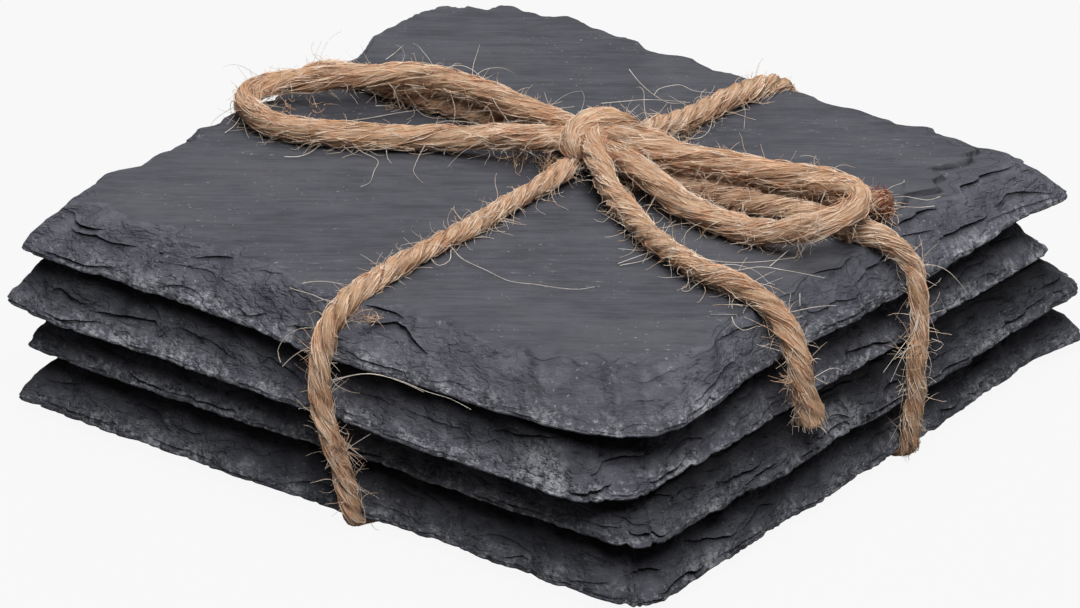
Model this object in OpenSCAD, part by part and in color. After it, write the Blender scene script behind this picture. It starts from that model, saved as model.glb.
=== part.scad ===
// Set of four square slate drink coasters, tied crosswise with jute twine and a bow.
// The coasters are split slate with a hand-dressed edge: each is widest at its sharp
// lower edge and steps in, flake by flake, to a smaller flat top.

/* [Coasters] */
// Width of the bottom coaster across its sharp lower edge
bottom_w = 101.4; // [92:0.2:110]
// Depth of the bottom coaster
bottom_d = 101.4; // [92:0.2:110]
// Thickness of the bottom coaster
bottom_t = 7.4; // [5:0.1:10]
// Width of the lower middle coaster
lower_w = 100.6; // [92:0.2:110]
// Depth of the lower middle coaster
lower_d = 99.6; // [92:0.2:110]
// Thickness of the lower middle coaster
lower_t = 5.8; // [4.5:0.1:10]
// Width of the upper middle coaster
upper_w = 99.4; // [92:0.2:110]
// Depth of the upper middle coaster
upper_d = 99.4; // [92:0.2:110]
// Thickness of the upper middle coaster
upper_t = 7.8; // [5:0.1:10]
// Width of the top coaster
top_w = 100; // [92:0.2:110]
// Depth of the top coaster
top_d = 98; // [92:0.2:110]
// Thickness of the top coaster
top_t = 7; // [5:0.1:10]

/* [Dressed edge] */
// How far the flakes step in between the sharp edge and the flat top
bevel_w = 3.6; // [1:0.1:5]
// The same on the lower middle coaster, which is dressed steeper
steep_bevel_w = 1.8; // [0.8:0.1:5]
// How deep the chips bite into the sharp lower edge
chip_depth = 1; // [0.2:0.1:1.8]
// Height of the lip above the sharp lower edge
lip_h = 0.6; // [0.3:0.1:1.2]
// Radius of the knocked-off corners
corner_r = 5; // [2:0.5:10]
// Flakes that the edge is split into, from bottom to top
flakes = 3; // [2:1:4]
// Points around each coaster
points_around = 160; // [80:8:200]

/* [Twine] */
// Diameter of the jute twine
twine_d = 3.8; // [3:0.1:4]
// Thickness of the twine where the stack squeezes it flat on the table
squeezed_t = 1.8; // [1.2:0.1:2.6]
// Width of the twine there
squeezed_w = 5.4; // [4:0.1:6]
// Thickness of the twine where the knot presses it onto the top coaster
pressed_t = 2.6; // [2:0.1:3]

/* [Hidden] */

slate_colour = [0.22, 0.23, 0.26];
twine_colour = [0.68, 0.51, 0.33];

// Every coaster, from the bottom up: width, depth, thickness, bevel, and the number
// that picks its own chips
slates = [
    [bottom_w, bottom_d, bottom_t, bevel_w, 11],
    [lower_w, lower_d, lower_t, steep_bevel_w, 23],
    [upper_w, upper_d, upper_t, bevel_w, 37],
    [top_w, top_d, top_t, bevel_w, 52],
];
top = len(slates) - 1;

// How far each coaster was pushed off the middle of the pile, to the right and to the back,
// in hundredths of its width, and how it is turned
push_shares = [[1.0, 0.2], [1.0, 0.6], [-1.9, -1.2], [-0.9, -0.3]];
turns = [0.4, 0, -0.7, 0.2];
function push(i) = push_shares[i] * slates[i][0] / 100;

// Radius of each coaster's corners, front left, front right, back right and back left, as a
// share of the named radius
corner_shares = [[0.2, 0.7, 0.3, 0.8], [0.2, 0.6, 0.8, 0.6], [0.2, 0.6, 0.4, 0.8], [0.4, 1.2, 0.3, 1.8]];

// How far each sharp edge was broken back from its nominal outline, in chip depths, at ten
// even places a side: front from left to right, right, back and left
edge_shares = [
    [0, 0.3, 0.3, 0.2, 0.1, 0.1, 0.9, 1.1, 0.8, 0.3, 0.6, 1.2, 0.9, 1.0, 0.6, 0.6, 1.0, 1.9, 2.2, 1.6,
     -1.8, -0.8, 0, 0.3, 0.6, 0.2, 0.5, 0, 0.4, 0.3, 0.8, 0.2, 0.6, 0.3, 0, 0.4, 0.6, 0.2, 0.5, 0.2],
    [0, -0.9, -0.9, -0.9, -0.7, 0, 0.6, 0, 0.5, 0.5, 0.5, 0.7, 0.3, -0.4, -0.2, -0.6, -0.6, -1.1, -0.7, -0.6,
     -1.6, -0.9, -0.3, 0.2, 0.5, 0.1, 0.4, 0, 0.3, 0.2, 0.6, 0.1, 0.5, 0.2, 0.4, 0, 0.3, 0.6, 0.1, 0.3],
    [0, -1.0, -0.6, -0.6, -0.6, -0.5, -0.1, -0.4, -0.3, 0, 0.4, -0.6, -0.6, -0.6, -0.6, -0.3, -0.4, -0.1, -0.2, -0.2,
     -0.2, 0.4, 0.2, 0, 0.5, 0.3, 0, 0.6, 0.2, 0.3, 0.8, 0.2, 0.5, 0.1, 0.4, 0, 0.3, 0.5, 0.2, 0],
    [0.2, 0.1, 0.4, 0.2, -0.2, -1.6, -0.9, -0.5, -0.6, 0.5, 0.4, -0.1, 0.1, 1.4, 1.0, 0, -0.3, -0.2, -0.2, 0.1,
     -1.5, 0.6, 0, 0, -0.3, 0, 0.6, 1.6, 0.6, 0.5, 1.5, 0.3, -0.5, 0.3, 0, 0.2, 0, 0.4, 0, -0.4],
];
// How wide the dressed slope of the top coaster is at the same places, in bevel widths
slope_shares = [
    1.5, 1.3, 1.0, 1.2, 0.9, 0.8, 1.1, 1.3, 1.2, 0.9, 0.7, 0.7, 0.6, 0.6, 0.5, 0.7, 0.9, 1.1, 1.2, 1.3,
    1.2, 1.2, 0.9, 0.9, 0.8, 0.8, 1.0, 1.3, 1.1, 1.0, 0.8, 0.6, 0.4, 1.0, 0.9, 1.1, 1.1, 1.1, 1.3, 1.6,
];
// The others get wider and narrower stretches of slope, this many round each
slope_count = 13;

// Heights: the pile stands on the squeezed twine, coaster on coaster
function base_z(i) = i == 0 ? squeezed_t : base_z(i - 1) + slates[i - 1][2];
face_z = base_z(top) + top_t;

// Shares that shape the chips: a riser's lean and a tread's rise within one flake
riser_share = 0.18;
tread_share = 0.3;
lip_share = 0.25;

// Chips: hollows of random depth side by side, the same on every run
chip_counts = [37, 61];
fine_share = 0.7;
flake_share = 1.2;
function hash(i, s) = let(v = sin(i * 97.3 + s * 57.1) * 1543.7) v - floor(v);
function hollow(u, n, s) = let(f = u * n, i = floor(f), t = f - i) 4 * t * (1 - t) * hash(i % n, s);
function chips(u, s) = 0.6 * hollow(u, chip_counts[0], s) + 0.4 * hollow(u, chip_counts[1], s + 1);

// Value of a table of even places, at share u of the way round
function along(table, u) = let(n = len(table), f = u * n, i = floor(f), t = f - i)
    table[i % n] * (1 - t) + table[(i + 1) % n] * t;
function slope(i, u) = i == top ? along(slope_shares, u)
    : 0.8 + 0.5 * hollow(u, slope_count, slates[i][4] + 3);

// How far the edge of flake k lies inside the nominal outline, at share u of the way round
function edge_inset(i, u) = chip_depth * (along(edge_shares[i], u) + fine_share * chips(u, slates[i][4]));
function flake_step(i, k, u) = 1 + flake_share * (chips(u, slates[i][4] + 5 * k) - 1 / 3);
function flake_inset(i, k, u) = k == 0 ? edge_inset(i, u) + lip_h * lip_share
    : flake_inset(i, k - 1, u) + slates[i][3] / flakes * slope(i, u) * flake_step(i, k, u);
function flake_h(i) = (slates[i][2] - lip_h) / flakes;
function flake_z(i, k) = lip_h + flake_h(i) * k;

// Rounded rectangle of half sides h, at share u of the way round, from the front left corner
function square_point(u) = let(s = u * 4, side = floor(s) % 4, f = 2 * (s - floor(s)) - 1)
    [[f, -1], [1, f], [-f, 1], [-1, -f]][side];
function clamp(v, limit) = min(max(v, -limit), limit);
function unit(v) = v / norm(v);
function outline_point(u, h, r) = let(
        e = square_point(u),
        q = [e.x * h.x, e.y * h.y],
        c = [clamp(q.x, h.x - r), clamp(q.y, h.y - r)]
    ) c + r * unit(q - c);

// One ring of points around a coaster
function edge_ring(i, z, insets) = [for (j = [0:points_around - 1])
    let(
        u = j / points_around,
        h = [slates[i][0] / 2 - insets[j], slates[i][1] / 2 - insets[j]],
        p = outline_point(u, h, corner_r * corner_shares[i][round(4 * u) % 4])
    ) [p.x, p.y, z]];
function around(i, k) = [for (j = [0:points_around - 1]) flake_inset(i, k, j / points_around)];

function slate_rings(i) = concat(
    [edge_ring(i, 0, [for (j = [0:points_around - 1]) edge_inset(i, j / points_around)])],
    [edge_ring(i, lip_h, around(i, 0))],
    [for (k = [1:flakes], part = [0, 1])
        let(run = part * riser_share * flake_h(i))
        edge_ring(i,
            part == 1 ? flake_z(i, k) : flake_z(i, k - 1) + tread_share * flake_h(i),
            [for (inset = around(i, k)) inset + run])]
);

// Skin over a pile of rings that all have the same number of points, closed by triangles
// round the middle of the first ring and of the last
function middle(ring) = [for (ring_point = ring) 1] * ring / len(ring);
module skin(rings) {
    n = len(rings[0]);
    last = len(rings) - 1;
    first_middle = len(rings) * n;
    polyhedron(
        points = concat([for (ring = rings, p = ring) p], [middle(rings[0]), middle(rings[last])]),
        faces = [for (j = [0:n - 1]) let(next = (j + 1) % n) each concat(
            [[first_middle, j, next], [first_middle + 1, last * n + next, last * n + j]],
            [for (i = [0:last - 1]) each [
                [i * n + j, (i + 1) * n + j, i * n + next],
                [i * n + next, (i + 1) * n + j, (i + 1) * n + next]]]
        )],
        convexity = 6
    );
}

module slate(i) {
    color(slate_colour)
        translate([push(i).x, push(i).y, base_z(i)])
            rotate([0, 0, turns[i]])
                skin(slate_rings(i));
}

module slate_bottom() { slate(0); }
module slate_lower_middle() { slate(1); }
module slate_upper_middle() { slate(2); }
module slate_top() { slate(top); }

// Twine: eight-sided sections of the same area as the round cord
sides = 8;
twine_r = twine_d / 2;
ring_r = twine_r * sqrt(2 * PI / (sides * sin(360 / sides)));
flat_r = ring_r * cos(180 / sides);

// Section at p across direction t, its flats towards n, with half a width and half a thickness
function section(p, t, n, half_w, half_t) = let(
        b = unit(cross(n, t)),
        grow = 1 / cos(180 / sides)
    ) [for (j = [0:sides - 1]) let(a = 360 * (j + 0.5) / sides)
        p + grow * (half_w * cos(a) * b + half_t * sin(a) * n)];
function heading(points, i) =
    unit(points[min(i + 1, len(points) - 1)] - points[max(i - 1, 0)]);

// Round tube along a route, turned as little as possible from ring to ring
function normals(points, n, i = 0) = i == len(points) ? []
    : let(t = heading(points, i), m = unit(n - (n * t) * t)) concat([m], normals(points, m, i + 1));
module cord(route) {
    up = normals(route, [0, 0, 1]);
    color(twine_colour)
        skin([for (i = [0:len(route) - 1])
            section(route[i], heading(route, i), up[i], flat_r, flat_r)]);
}

// The four ways the twine runs from the knot: where it heads, the way across it, the
// coaster's half side it meets, which side that is, and the sign of its turn
front = [[0, -1], [1, 0], 1, 0, -1];
right = [[1, 0], [0, 1], 0, 1, -1];
back = [[0, 1], [1, 0], 1, 2, 1];
left = [[-1, 0], [0, 1], 0, 3, 1];

// Where the twine crosses each way, from the table to the top of the pile: share of the
// pile's height, and the place across in hundredths of the top coaster's width
front_sway_shares = [
    [0, 7.8], [0.12, 7.3], [0.28, 6], [0.42, 4.6], [0.57, 3.1], [0.72, 3.2], [0.88, 5.4], [1, 5.8]];
right_sway_shares = [
    [0, 8.8], [0.19, 9.3], [0.34, 9.7], [0.54, 10.1], [0.76, 9.6], [0.94, 7.8], [1, 7.2]];
back_sway_shares = [[0, 4.4], [0.6, 6], [1, 7.4]];
left_sway_shares = [[0, 5.6], [0.6, 9], [1, 7.8]];

// Clear space between the twine and the chips it passes
seat_gap = 0.15;

// Reach of coaster i towards a side, with the twine's place across it
function side_share(way, f) = (way[3] + (way[3] < 2 ? 1 + f : 1 - f) / 2) / 4;
function least(values) = min(values);
function reach(i, way, across, k) = let(
        half = slates[i][way[2]] / 2,
        other = slates[i][1 - way[2]] / 2
    ) half + push(i) * way[0] + way[4] * across * tan(turns[i]) - least([for (d = [-1:0.5:1])
        let(u = side_share(way, (across + d * twine_r) / other))
        k < 0 ? edge_inset(i, u) : flake_inset(i, k, u) + (k > 0 ? riser_share * flake_h(i) : 0)]);

// Corners of the pile that the twine may touch, from the rim of the top down
function sway_at(sway, z) = lookup(z / face_z, sway) * top_w / 100;
function corner(way, sway, i, k) = let(z = base_z(i) + (k < 0 ? 0 : flake_z(i, k)))
    [reach(i, way, sway_at(sway, z), k), z];
function corners(way, sway) = concat(
    [for (k = [flakes:-1:1]) corner(way, sway, top, k)],
    [for (i = [top:-1:0]) corner(way, sway, i, -1)]);

// The taut line over those corners: where one lies inside the line of its neighbours,
// the twine passes it by
function between(a, b, z) = a.x + (b.x - a.x) * (z - a.y) / (b.y - a.y);
function taut(points) = [for (i = [0:len(points) - 1]) let(p = points[i])
    [i == 0 || i == len(points) - 1 ? p.x
        : max([p.x, for (a = [0:i - 1], b = [i + 1:len(points) - 1]) between(points[a], points[b], p.y)]),
     p.y]];

// A station of the wrap: centre, the way its flats face, half its width and half its thickness
function place(way, out, across, z) = [
    way[0].x * out + way[1].x * across, way[0].y * out + way[1].y * across, z];
function station(way, sway, p, angle, half_w, half_t, gap) = let(
        n = [cos(angle), sin(angle)],
        c = p + n * (half_t + gap)
    ) [place(way, c.x, sway_at(sway, c.y), c.y),
       [way[0].x * n.x, way[0].y * n.x, n.y], half_w, half_t];

// One leg from the rim down the side and round the bottom edge, which bites into the twine
under_angle = 45;
bend_share = 0.8;
bend_half_t = squeezed_t / 2 * bend_share;
bend_half_w = squeezed_w / 2;
function lean(a, b) = atan2(b.x - a.x, a.y - b.y);
function leg(way, sway) = let(
        line = taut(corners(way, sway)),
        last = len(line) - 1,
        leans = [for (i = [0:last - 1]) lean(line[i], line[i + 1])]
    ) concat(
        [station(way, sway, line[0], 90, flat_r, flat_r, 0)],
        [station(way, sway, line[0], (90 + leans[0]) / 2, flat_r, flat_r, seat_gap)],
        [for (i = [1:last - 1])
            station(way, sway, line[i], (leans[i - 1] + leans[i]) / 2, flat_r, flat_r, seat_gap)],
        [station(way, sway, line[last], leans[last - 1] / 2, flat_r, flat_r, seat_gap)],
        [station(way, sway, line[last], -under_angle, bend_half_w, bend_half_t, seat_gap)],
        [station(way, sway, line[last] - [twine_r, 0], -90, squeezed_w / 2, squeezed_t / 2, 0)]);
function reversed(list) = [for (i = [len(list) - 1:-1:0]) list[i]];

// Under the pile the two runs of twine hook round each other: each bends by a right angle,
// and passes over the other once and under it once, squeezed to half the thickness
hook_x = 5.5;
hook_y = 5.5;
hook_d = 2.9;
hook_ramp = 8;
crossing_w = 3;
hooked_half_w = 2.3;
strand_gap = 0.1;
half_squeezed = squeezed_t / 2;
crossing_t = (squeezed_t - strand_gap) / 4;
function under(x, y) = [[x, y, half_squeezed], [0, 0, -1], squeezed_w / 2, half_squeezed];
function lower(x, y) = [[x, y, crossing_t], [0, 0, -1], crossing_w, crossing_t];
function upper(x, y) = [[x, y, squeezed_t - crossing_t], [0, 0, -1], crossing_w, crossing_t];
function hooked(x, y) = [[x, y, half_squeezed], [0, 0, -1], hooked_half_w, crossing_t];

// From the front to the left, with its bend on the back right of the hook
function front_to_left() = let(x = hook_x + hook_d, y = hook_y + hook_d, c = hook_d / 4) [
    under(x, hook_y - hook_d - hook_ramp),
    upper(x, hook_y - hook_d - crossing_w - strand_gap),
    upper(x, hook_y),
    hooked(x - c, y - c),
    lower(hook_x, y),
    lower(hook_x - hook_d - crossing_w - strand_gap, y),
    under(hook_x - hook_d - hook_ramp, y)];
// From the right to the back, with its bend on the front left of the hook
function right_to_back() = let(x = hook_x - hook_d, y = hook_y - hook_d, c = hook_d / 4) [
    under(hook_x + hook_d + hook_ramp, y),
    lower(hook_x + hook_d + crossing_w + strand_gap, y),
    lower(hook_x, y),
    hooked(x + c, y + c),
    upper(x, hook_y),
    upper(x, hook_y + hook_d + crossing_w + strand_gap),
    under(x, hook_y + hook_d + hook_ramp)];

// Stations on the top face: places in hundredths of its width and depth, and how many
// cord radii the middle of the cord lies above the face
function on_top(x_share, y_share, rise_share) = [
    [x_share * top_w / 100, y_share * top_d / 100, face_z + rise_share * flat_r],
    [0, 0, 1], flat_r, flat_r];
function pressed(x_share, y_share) = [
    [x_share * top_w / 100, y_share * top_d / 100, face_z + pressed_t / 2],
    [0, 0, 1], flat_r * twine_d / pressed_t, pressed_t / 2];
front_start = [on_top(2.8, 0.5, 1.7), on_top(3.2, -3, 1.35), on_top(3.8, -8, 1), on_top(4.4, -24, 1)];
back_end = [on_top(5.6, 28, 1), on_top(5, 20, 1.3), on_top(4.8, 15.5, 1.6), on_top(4.8, 12.6, 1.8)];
top_run = [on_top(-24, 7.8, 1), on_top(-8, 7.9, 1), pressed(-1, 7.6), pressed(8, 6.7),
    on_top(15, 5.9, 1), on_top(25, 5.3, 1)];

wrap_stations = concat(
    front_start, leg(front, front_sway_shares),
    front_to_left(), reversed(leg(left, left_sway_shares)),
    top_run, leg(right, right_sway_shares),
    right_to_back(), reversed(leg(back, back_sway_shares)), back_end);

module twine_wrap() {
    centres = [for (s = wrap_stations) s[0]];
    color(twine_colour)
        skin([for (i = [0:len(centres) - 1]) let(s = wrap_stations[i])
            section(s[0], heading(centres, i), s[1], s[2], s[3])]);
}

// Knot: a lump lofted from left to right, with the tight turn of the bow round its waist.
// Each section gives its place from left to right, then the middle across and up above
// the top face, and half its width and height, all in cord diameters
knot_shares = [
    [-0.42, 1.0, 1.23, 1.06, 0.5],
    [0.04, 1.16, 1.28, 1.12, 0.53],
    [0.2, 1.46, 1.34, 1.28, 0.61],
    [0.46, 1.62, 1.37, 1.42, 0.67],
    [1.1, 1.62, 1.37, 1.42, 0.67],
    [1.38, 1.62, 1.34, 1.37, 0.64],
    [1.56, 1.72, 1.29, 1.37, 0.59],
    [2.2, 1.8, 1.29, 1.45, 0.59],
];
knot_points = 20;
knot_power_share = 0.7;
function swell(v) = sign(v) * pow(abs(v), knot_power_share);
module twine_knot() {
    color(twine_colour)
        translate([0, 0, face_z])
            skin([for (s = knot_shares) [for (j = [0:knot_points - 1])
                let(a = 360 * j / knot_points)
                twine_d * [s[0], s[1] + s[3] * swell(cos(a)), s[2] + s[4] * swell(sin(a))]]]);
}

// Free ends and loops of the bow: places from left to right, front to back, and above
// the top face
left_loop_route = [
    [-1.6, 1.7, 4.5], [-3.6, 1.7, 4.5], [-7, 0.2, 3.9], [-11, -1, 3.0], [-15.5, -2.6, 2.3],
    [-19.5, -4.8, 2.0], [-23.5, -7.2, 2.0], [-27.5, -9.6, 2.0], [-31.5, -11.4, 2.0],
    [-36, -12.6, 2.0], [-40.5, -12, 2.1], [-44, -9.6, 2.5], [-45.4, -6, 3.2], [-44, -2.8, 4.2],
    [-41, -1, 5.2], [-37.5, 0.4, 5.8], [-33, 2.6, 6.0], [-28.5, 5, 6.0], [-23.5, 6.4, 5.9],
    [-18.5, 6.6, 5.8], [-13, 6.1, 5.7], [-8, 5.7, 5.4], [-3.6, 5.6, 4.9], [-1.6, 5.6, 4.9],
];
right_loop_route = [
    [8.4, 7.4, 5.3], [10.4, 7.4, 5.3], [13, 6.9, 5.6], [16, 6.4, 5.7], [19.5, 6.2, 5.8], [23.5, 6.3, 5.8],
    [27.5, 7.2, 5.8], [31.5, 8.4, 5.7], [35, 9.6, 5.7], [38.5, 10.2, 5.7], [42, 9.2, 5.8],
    [44.6, 6.2, 5.9], [45.2, 2.8, 5.8], [43.8, 0, 5.2], [41, -1.4, 4.0], [37.5, -1.8, 2.7],
    [34, -2, 2.1], [30, -2.2, 2.0], [26, -2, 2.1], [22, -1.4, 2.6], [18.5, -0.4, 3.2],
    [15, 0.9, 3.8], [12.6, 2.4, 4.3], [10.4, 3.6, 4.5], [8.4, 3.6, 4.5],
];
right_tail_route = [
    [8.4, 11.2, 3.4], [10.2, 11.2, 3.4], [13.4, 10.6, 2.5], [17, 9.9, 2.0], [20.5, 9.7, 2.0],
    [24, 10, 2.0], [27.5, 10.6, 2.0], [31, 11.4, 2.0], [34.5, 12.4, 2.0], [37.5, 13.2, 2.0],
    [40, 13.6, 2.1], [42.6, 13.8, 2.3],
];
front_tail_route = [
    [6.4, 0.8, 5.2], [8.4, -1.6, 4.4], [10.9, -3.5, 3.2], [13.8, -5.2, 2.4], [17, -7, 2.0],
    [21, -9.2, 2.0], [25, -11.6, 2.0], [29, -13.6, 2.0], [33, -15.2, 2.0], [37, -16.2, 2.0],
    [41, -17.4, 2.2], [44.8, -18.8, 2.5], [48, -19.4, 1.2], [50.4, -18.6, -1.6], [51.6, -17, -5],
    [51.9, -15, -8.6], [51.8, -13.8, -12], [51.6, -14, -15.2],
];
function above_face(route) = [for (p = route) p + [0, 0, face_z]];

module bow_left_loop() { cord(above_face(left_loop_route)); }
module bow_right_loop() { cord(above_face(right_loop_route)); }
module front_tail() { cord(above_face(front_tail_route)); }
module right_tail() { cord(above_face(right_tail_route)); }

slate_bottom();
slate_lower_middle();
slate_upper_middle();
slate_top();
twine_wrap();
twine_knot();
bow_left_loop();
bow_right_loop();
front_tail();
right_tail();
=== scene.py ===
import math
import random

import bmesh
import bpy
from mathutils import Matrix, Vector, noise


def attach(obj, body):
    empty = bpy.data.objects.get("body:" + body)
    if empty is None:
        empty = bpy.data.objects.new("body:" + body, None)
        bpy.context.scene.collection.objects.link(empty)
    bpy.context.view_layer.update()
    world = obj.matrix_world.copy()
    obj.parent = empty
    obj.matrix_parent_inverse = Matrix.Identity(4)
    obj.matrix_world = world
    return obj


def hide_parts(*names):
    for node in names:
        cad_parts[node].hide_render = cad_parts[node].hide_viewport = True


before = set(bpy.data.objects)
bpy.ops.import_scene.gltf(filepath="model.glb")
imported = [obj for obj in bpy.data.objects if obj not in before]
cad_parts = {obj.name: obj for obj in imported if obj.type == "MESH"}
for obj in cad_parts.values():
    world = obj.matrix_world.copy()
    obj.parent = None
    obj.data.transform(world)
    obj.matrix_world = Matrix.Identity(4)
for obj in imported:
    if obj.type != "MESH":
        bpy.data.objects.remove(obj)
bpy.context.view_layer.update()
mm = 0.001  # sizes below are in millimetres, like the part's own source
fullTurn = 2 * math.pi


def link(thing):
    bpy.context.scene.collection.objects.link(thing)
    return thing


def meshFrom(bm, name):
    mesh = bpy.data.meshes.new(name)
    bm.to_mesh(mesh)
    bm.free()
    return mesh


# The camera stands at the photograph's viewing angle
cameraSpec = {
    "place": (433.3, -585.3, 350.0),
    "azimuth": 36.62,
    "elevation": 24.96,
    "roll": 0.39,
    "lens": 200,
    "sensor": 36,
    "clip": (0.05, 20),  # in metres
}


def addCamera(spec):
    az, el, roll = (math.radians(spec[k]) for k in ("azimuth", "elevation", "roll"))
    back = Vector((math.sin(az) * math.cos(el), -math.cos(az) * math.cos(el), math.sin(el)))
    right = Matrix.Rotation(roll, 3, back) @ Vector((math.cos(az), math.sin(az), 0))
    sides = Matrix((right, back.cross(right), back)).transposed()
    data = bpy.data.cameras.new("studioCamera")
    data.lens, data.sensor_width = spec["lens"], spec["sensor"]
    data.clip_start, data.clip_end = spec["clip"]
    camera = link(bpy.data.objects.new("studioCamera", data))
    place = Matrix.Translation([p * mm for p in spec["place"]])
    camera.matrix_world = place @ sides.to_4x4()
    bpy.context.scene.camera = camera


addCamera(cameraSpec)
print("camera placed")


# A wrapped socket does a material's maths, and one method makes every other node
class Wire:
    def __init__(self, paint, socket):
        self.paint, self.socket = paint, socket

    def maths(self, operation, *others):
        return self.paint.node("Math", {"operation": operation}, dict(enumerate((self, *others))))

    def __add__(self, other):
        return self.maths("ADD", other)

    def __sub__(self, other):
        return self.maths("SUBTRACT", other)

    def __mul__(self, other):
        return self.maths("MULTIPLY", other)

    def __rsub__(self, other):
        return self.paint.node("Math", {"operation": "SUBTRACT"}, {0: other, 1: self})

    __radd__, __rmul__ = __add__, __mul__

    def above(self, low, high):  # 0 below low, 1 above high, smooth between
        return self.paint.node("MapRange", {"interpolation_type": "SMOOTHSTEP"},
                               {"Value": self, "From Min": low, "From Max": high})


class Paint:
    def __init__(self, owner):  # a material or the world
        owner.use_nodes = True
        self.owner, self.tree = owner, owner.node_tree
        self.tree.nodes.clear()

    def node(self, kind, settings=None, sockets=None, output=0):
        made = self.tree.nodes.new("ShaderNode" + kind)
        for key, value in (settings or {}).items():
            setattr(made, key, value)
        for key, value in (sockets or {}).items():
            if isinstance(value, Wire):
                self.tree.links.new(value.socket, made.inputs[key])
            else:
                made.inputs[key].default_value = value
        return Wire(self, made.outputs[output])

    def layer(self, name, output="Fac"):  # what the mesh keeps at its points
        return self.node("Attribute", {"attribute_name": name}, output=output)

    def mix(self, share, first, second, blend="MIX"):  # of two colours
        sockets = {0: share}
        for key, value in ((6, first), (7, second)):
            sockets[key] = value if isinstance(value, Wire) else (*value, 1)
        return self.node("Mix", {"data_type": "RGBA", "blend_type": blend}, sockets, output=2)

    def coats(self, base, colours, shares):  # colours laid over each other
        for share, name in shares:
            base = self.mix(share, base, colours[name])
        return base

    def stretched(self, place, scale, turn=(0, 0, 0), shift=(0, 0, 0)):
        return self.node("Mapping", None, {
            "Vector": place, "Rotation": turn, "Scale": scale, "Location": shift})

    def spots(self, place, scale, detail, rough, shift=(0, 0, 0)):
        if isinstance(scale, tuple):
            place, scale = self.stretched(place, scale, shift=shift), 1.0
        return self.node("TexNoise", None, {
            "Vector": place, "Scale": scale, "Detail": detail, "Roughness": rough})

    def bump(self, relief, distance):
        return self.node("Bump", None, {"Height": relief, "Strength": 1.0, "Distance": distance})

    def done(self, shader, kind="Material"):
        out = self.tree.nodes.new("ShaderNodeOutput" + kind)
        self.tree.links.new(shader.socket, out.inputs["Surface"])
        return self.owner

    def finish(self, sockets):
        return self.done(self.node("BsdfPrincipled", None, sockets))


def srgb(r, g, b):
    return tuple(c / 12.92 if c <= 0.04045 else ((c + 0.055) / 1.055) ** 2.4
                 for c in (r / 255, g / 255, b / 255))


slatePaint = {
    "grainTurn": 36.6,  # the split runs this way, in degrees from the front edge
    "dark": srgb(67, 68, 74),
    "pale": srgb(89, 90, 96),
    "chippedDark": srgb(77, 78, 86),
    "chippedPale": srgb(106, 107, 115),
    "bruise": srgb(176, 178, 183),
    "warm": srgb(97, 94, 91),
    # near black: painted shade in the cracks, pits and creases of the stone
    "crackShade": srgb(20, 20, 24),
    "relief": 0.00035,
}
# Each pattern's fineness along, across and through the split, its detail and its roughness
slatePatterns = {
    "streaks": ((60, 900, 900), 4, 0.65),
    "grain": ((240, 3400, 3400), 3, 0.7),
    "clouds": (42, 5, 0.6),
    "mottle": ((180, 320, 320), 4, 0.6),
    "flecks": ((300, 1500, 1500), 3, 0.6),
    "dots": (1500, 1, 0.5),
    "sparse": (95, 2, 0.5),
    "broken": (420, 5, 0.7),
    "lumps": ((170, 210, 420), 5, 0.7),
    "pits": ((330, 330, 900), 4, 0.7),
    "facets": ((260, 330, 560), 3, 0.55),
    "crumbs": (1050, 4, 0.75),
}
ringLength = 400  # about the length of a coaster's edge


def ringPlace(u):  # round the edge on a circle of the same length, for patterns with no seam
    r = ringLength / fullTurn
    return Vector((math.cos(fullTurn * u) * r, math.sin(fullTurn * u) * r, 0))


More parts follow.
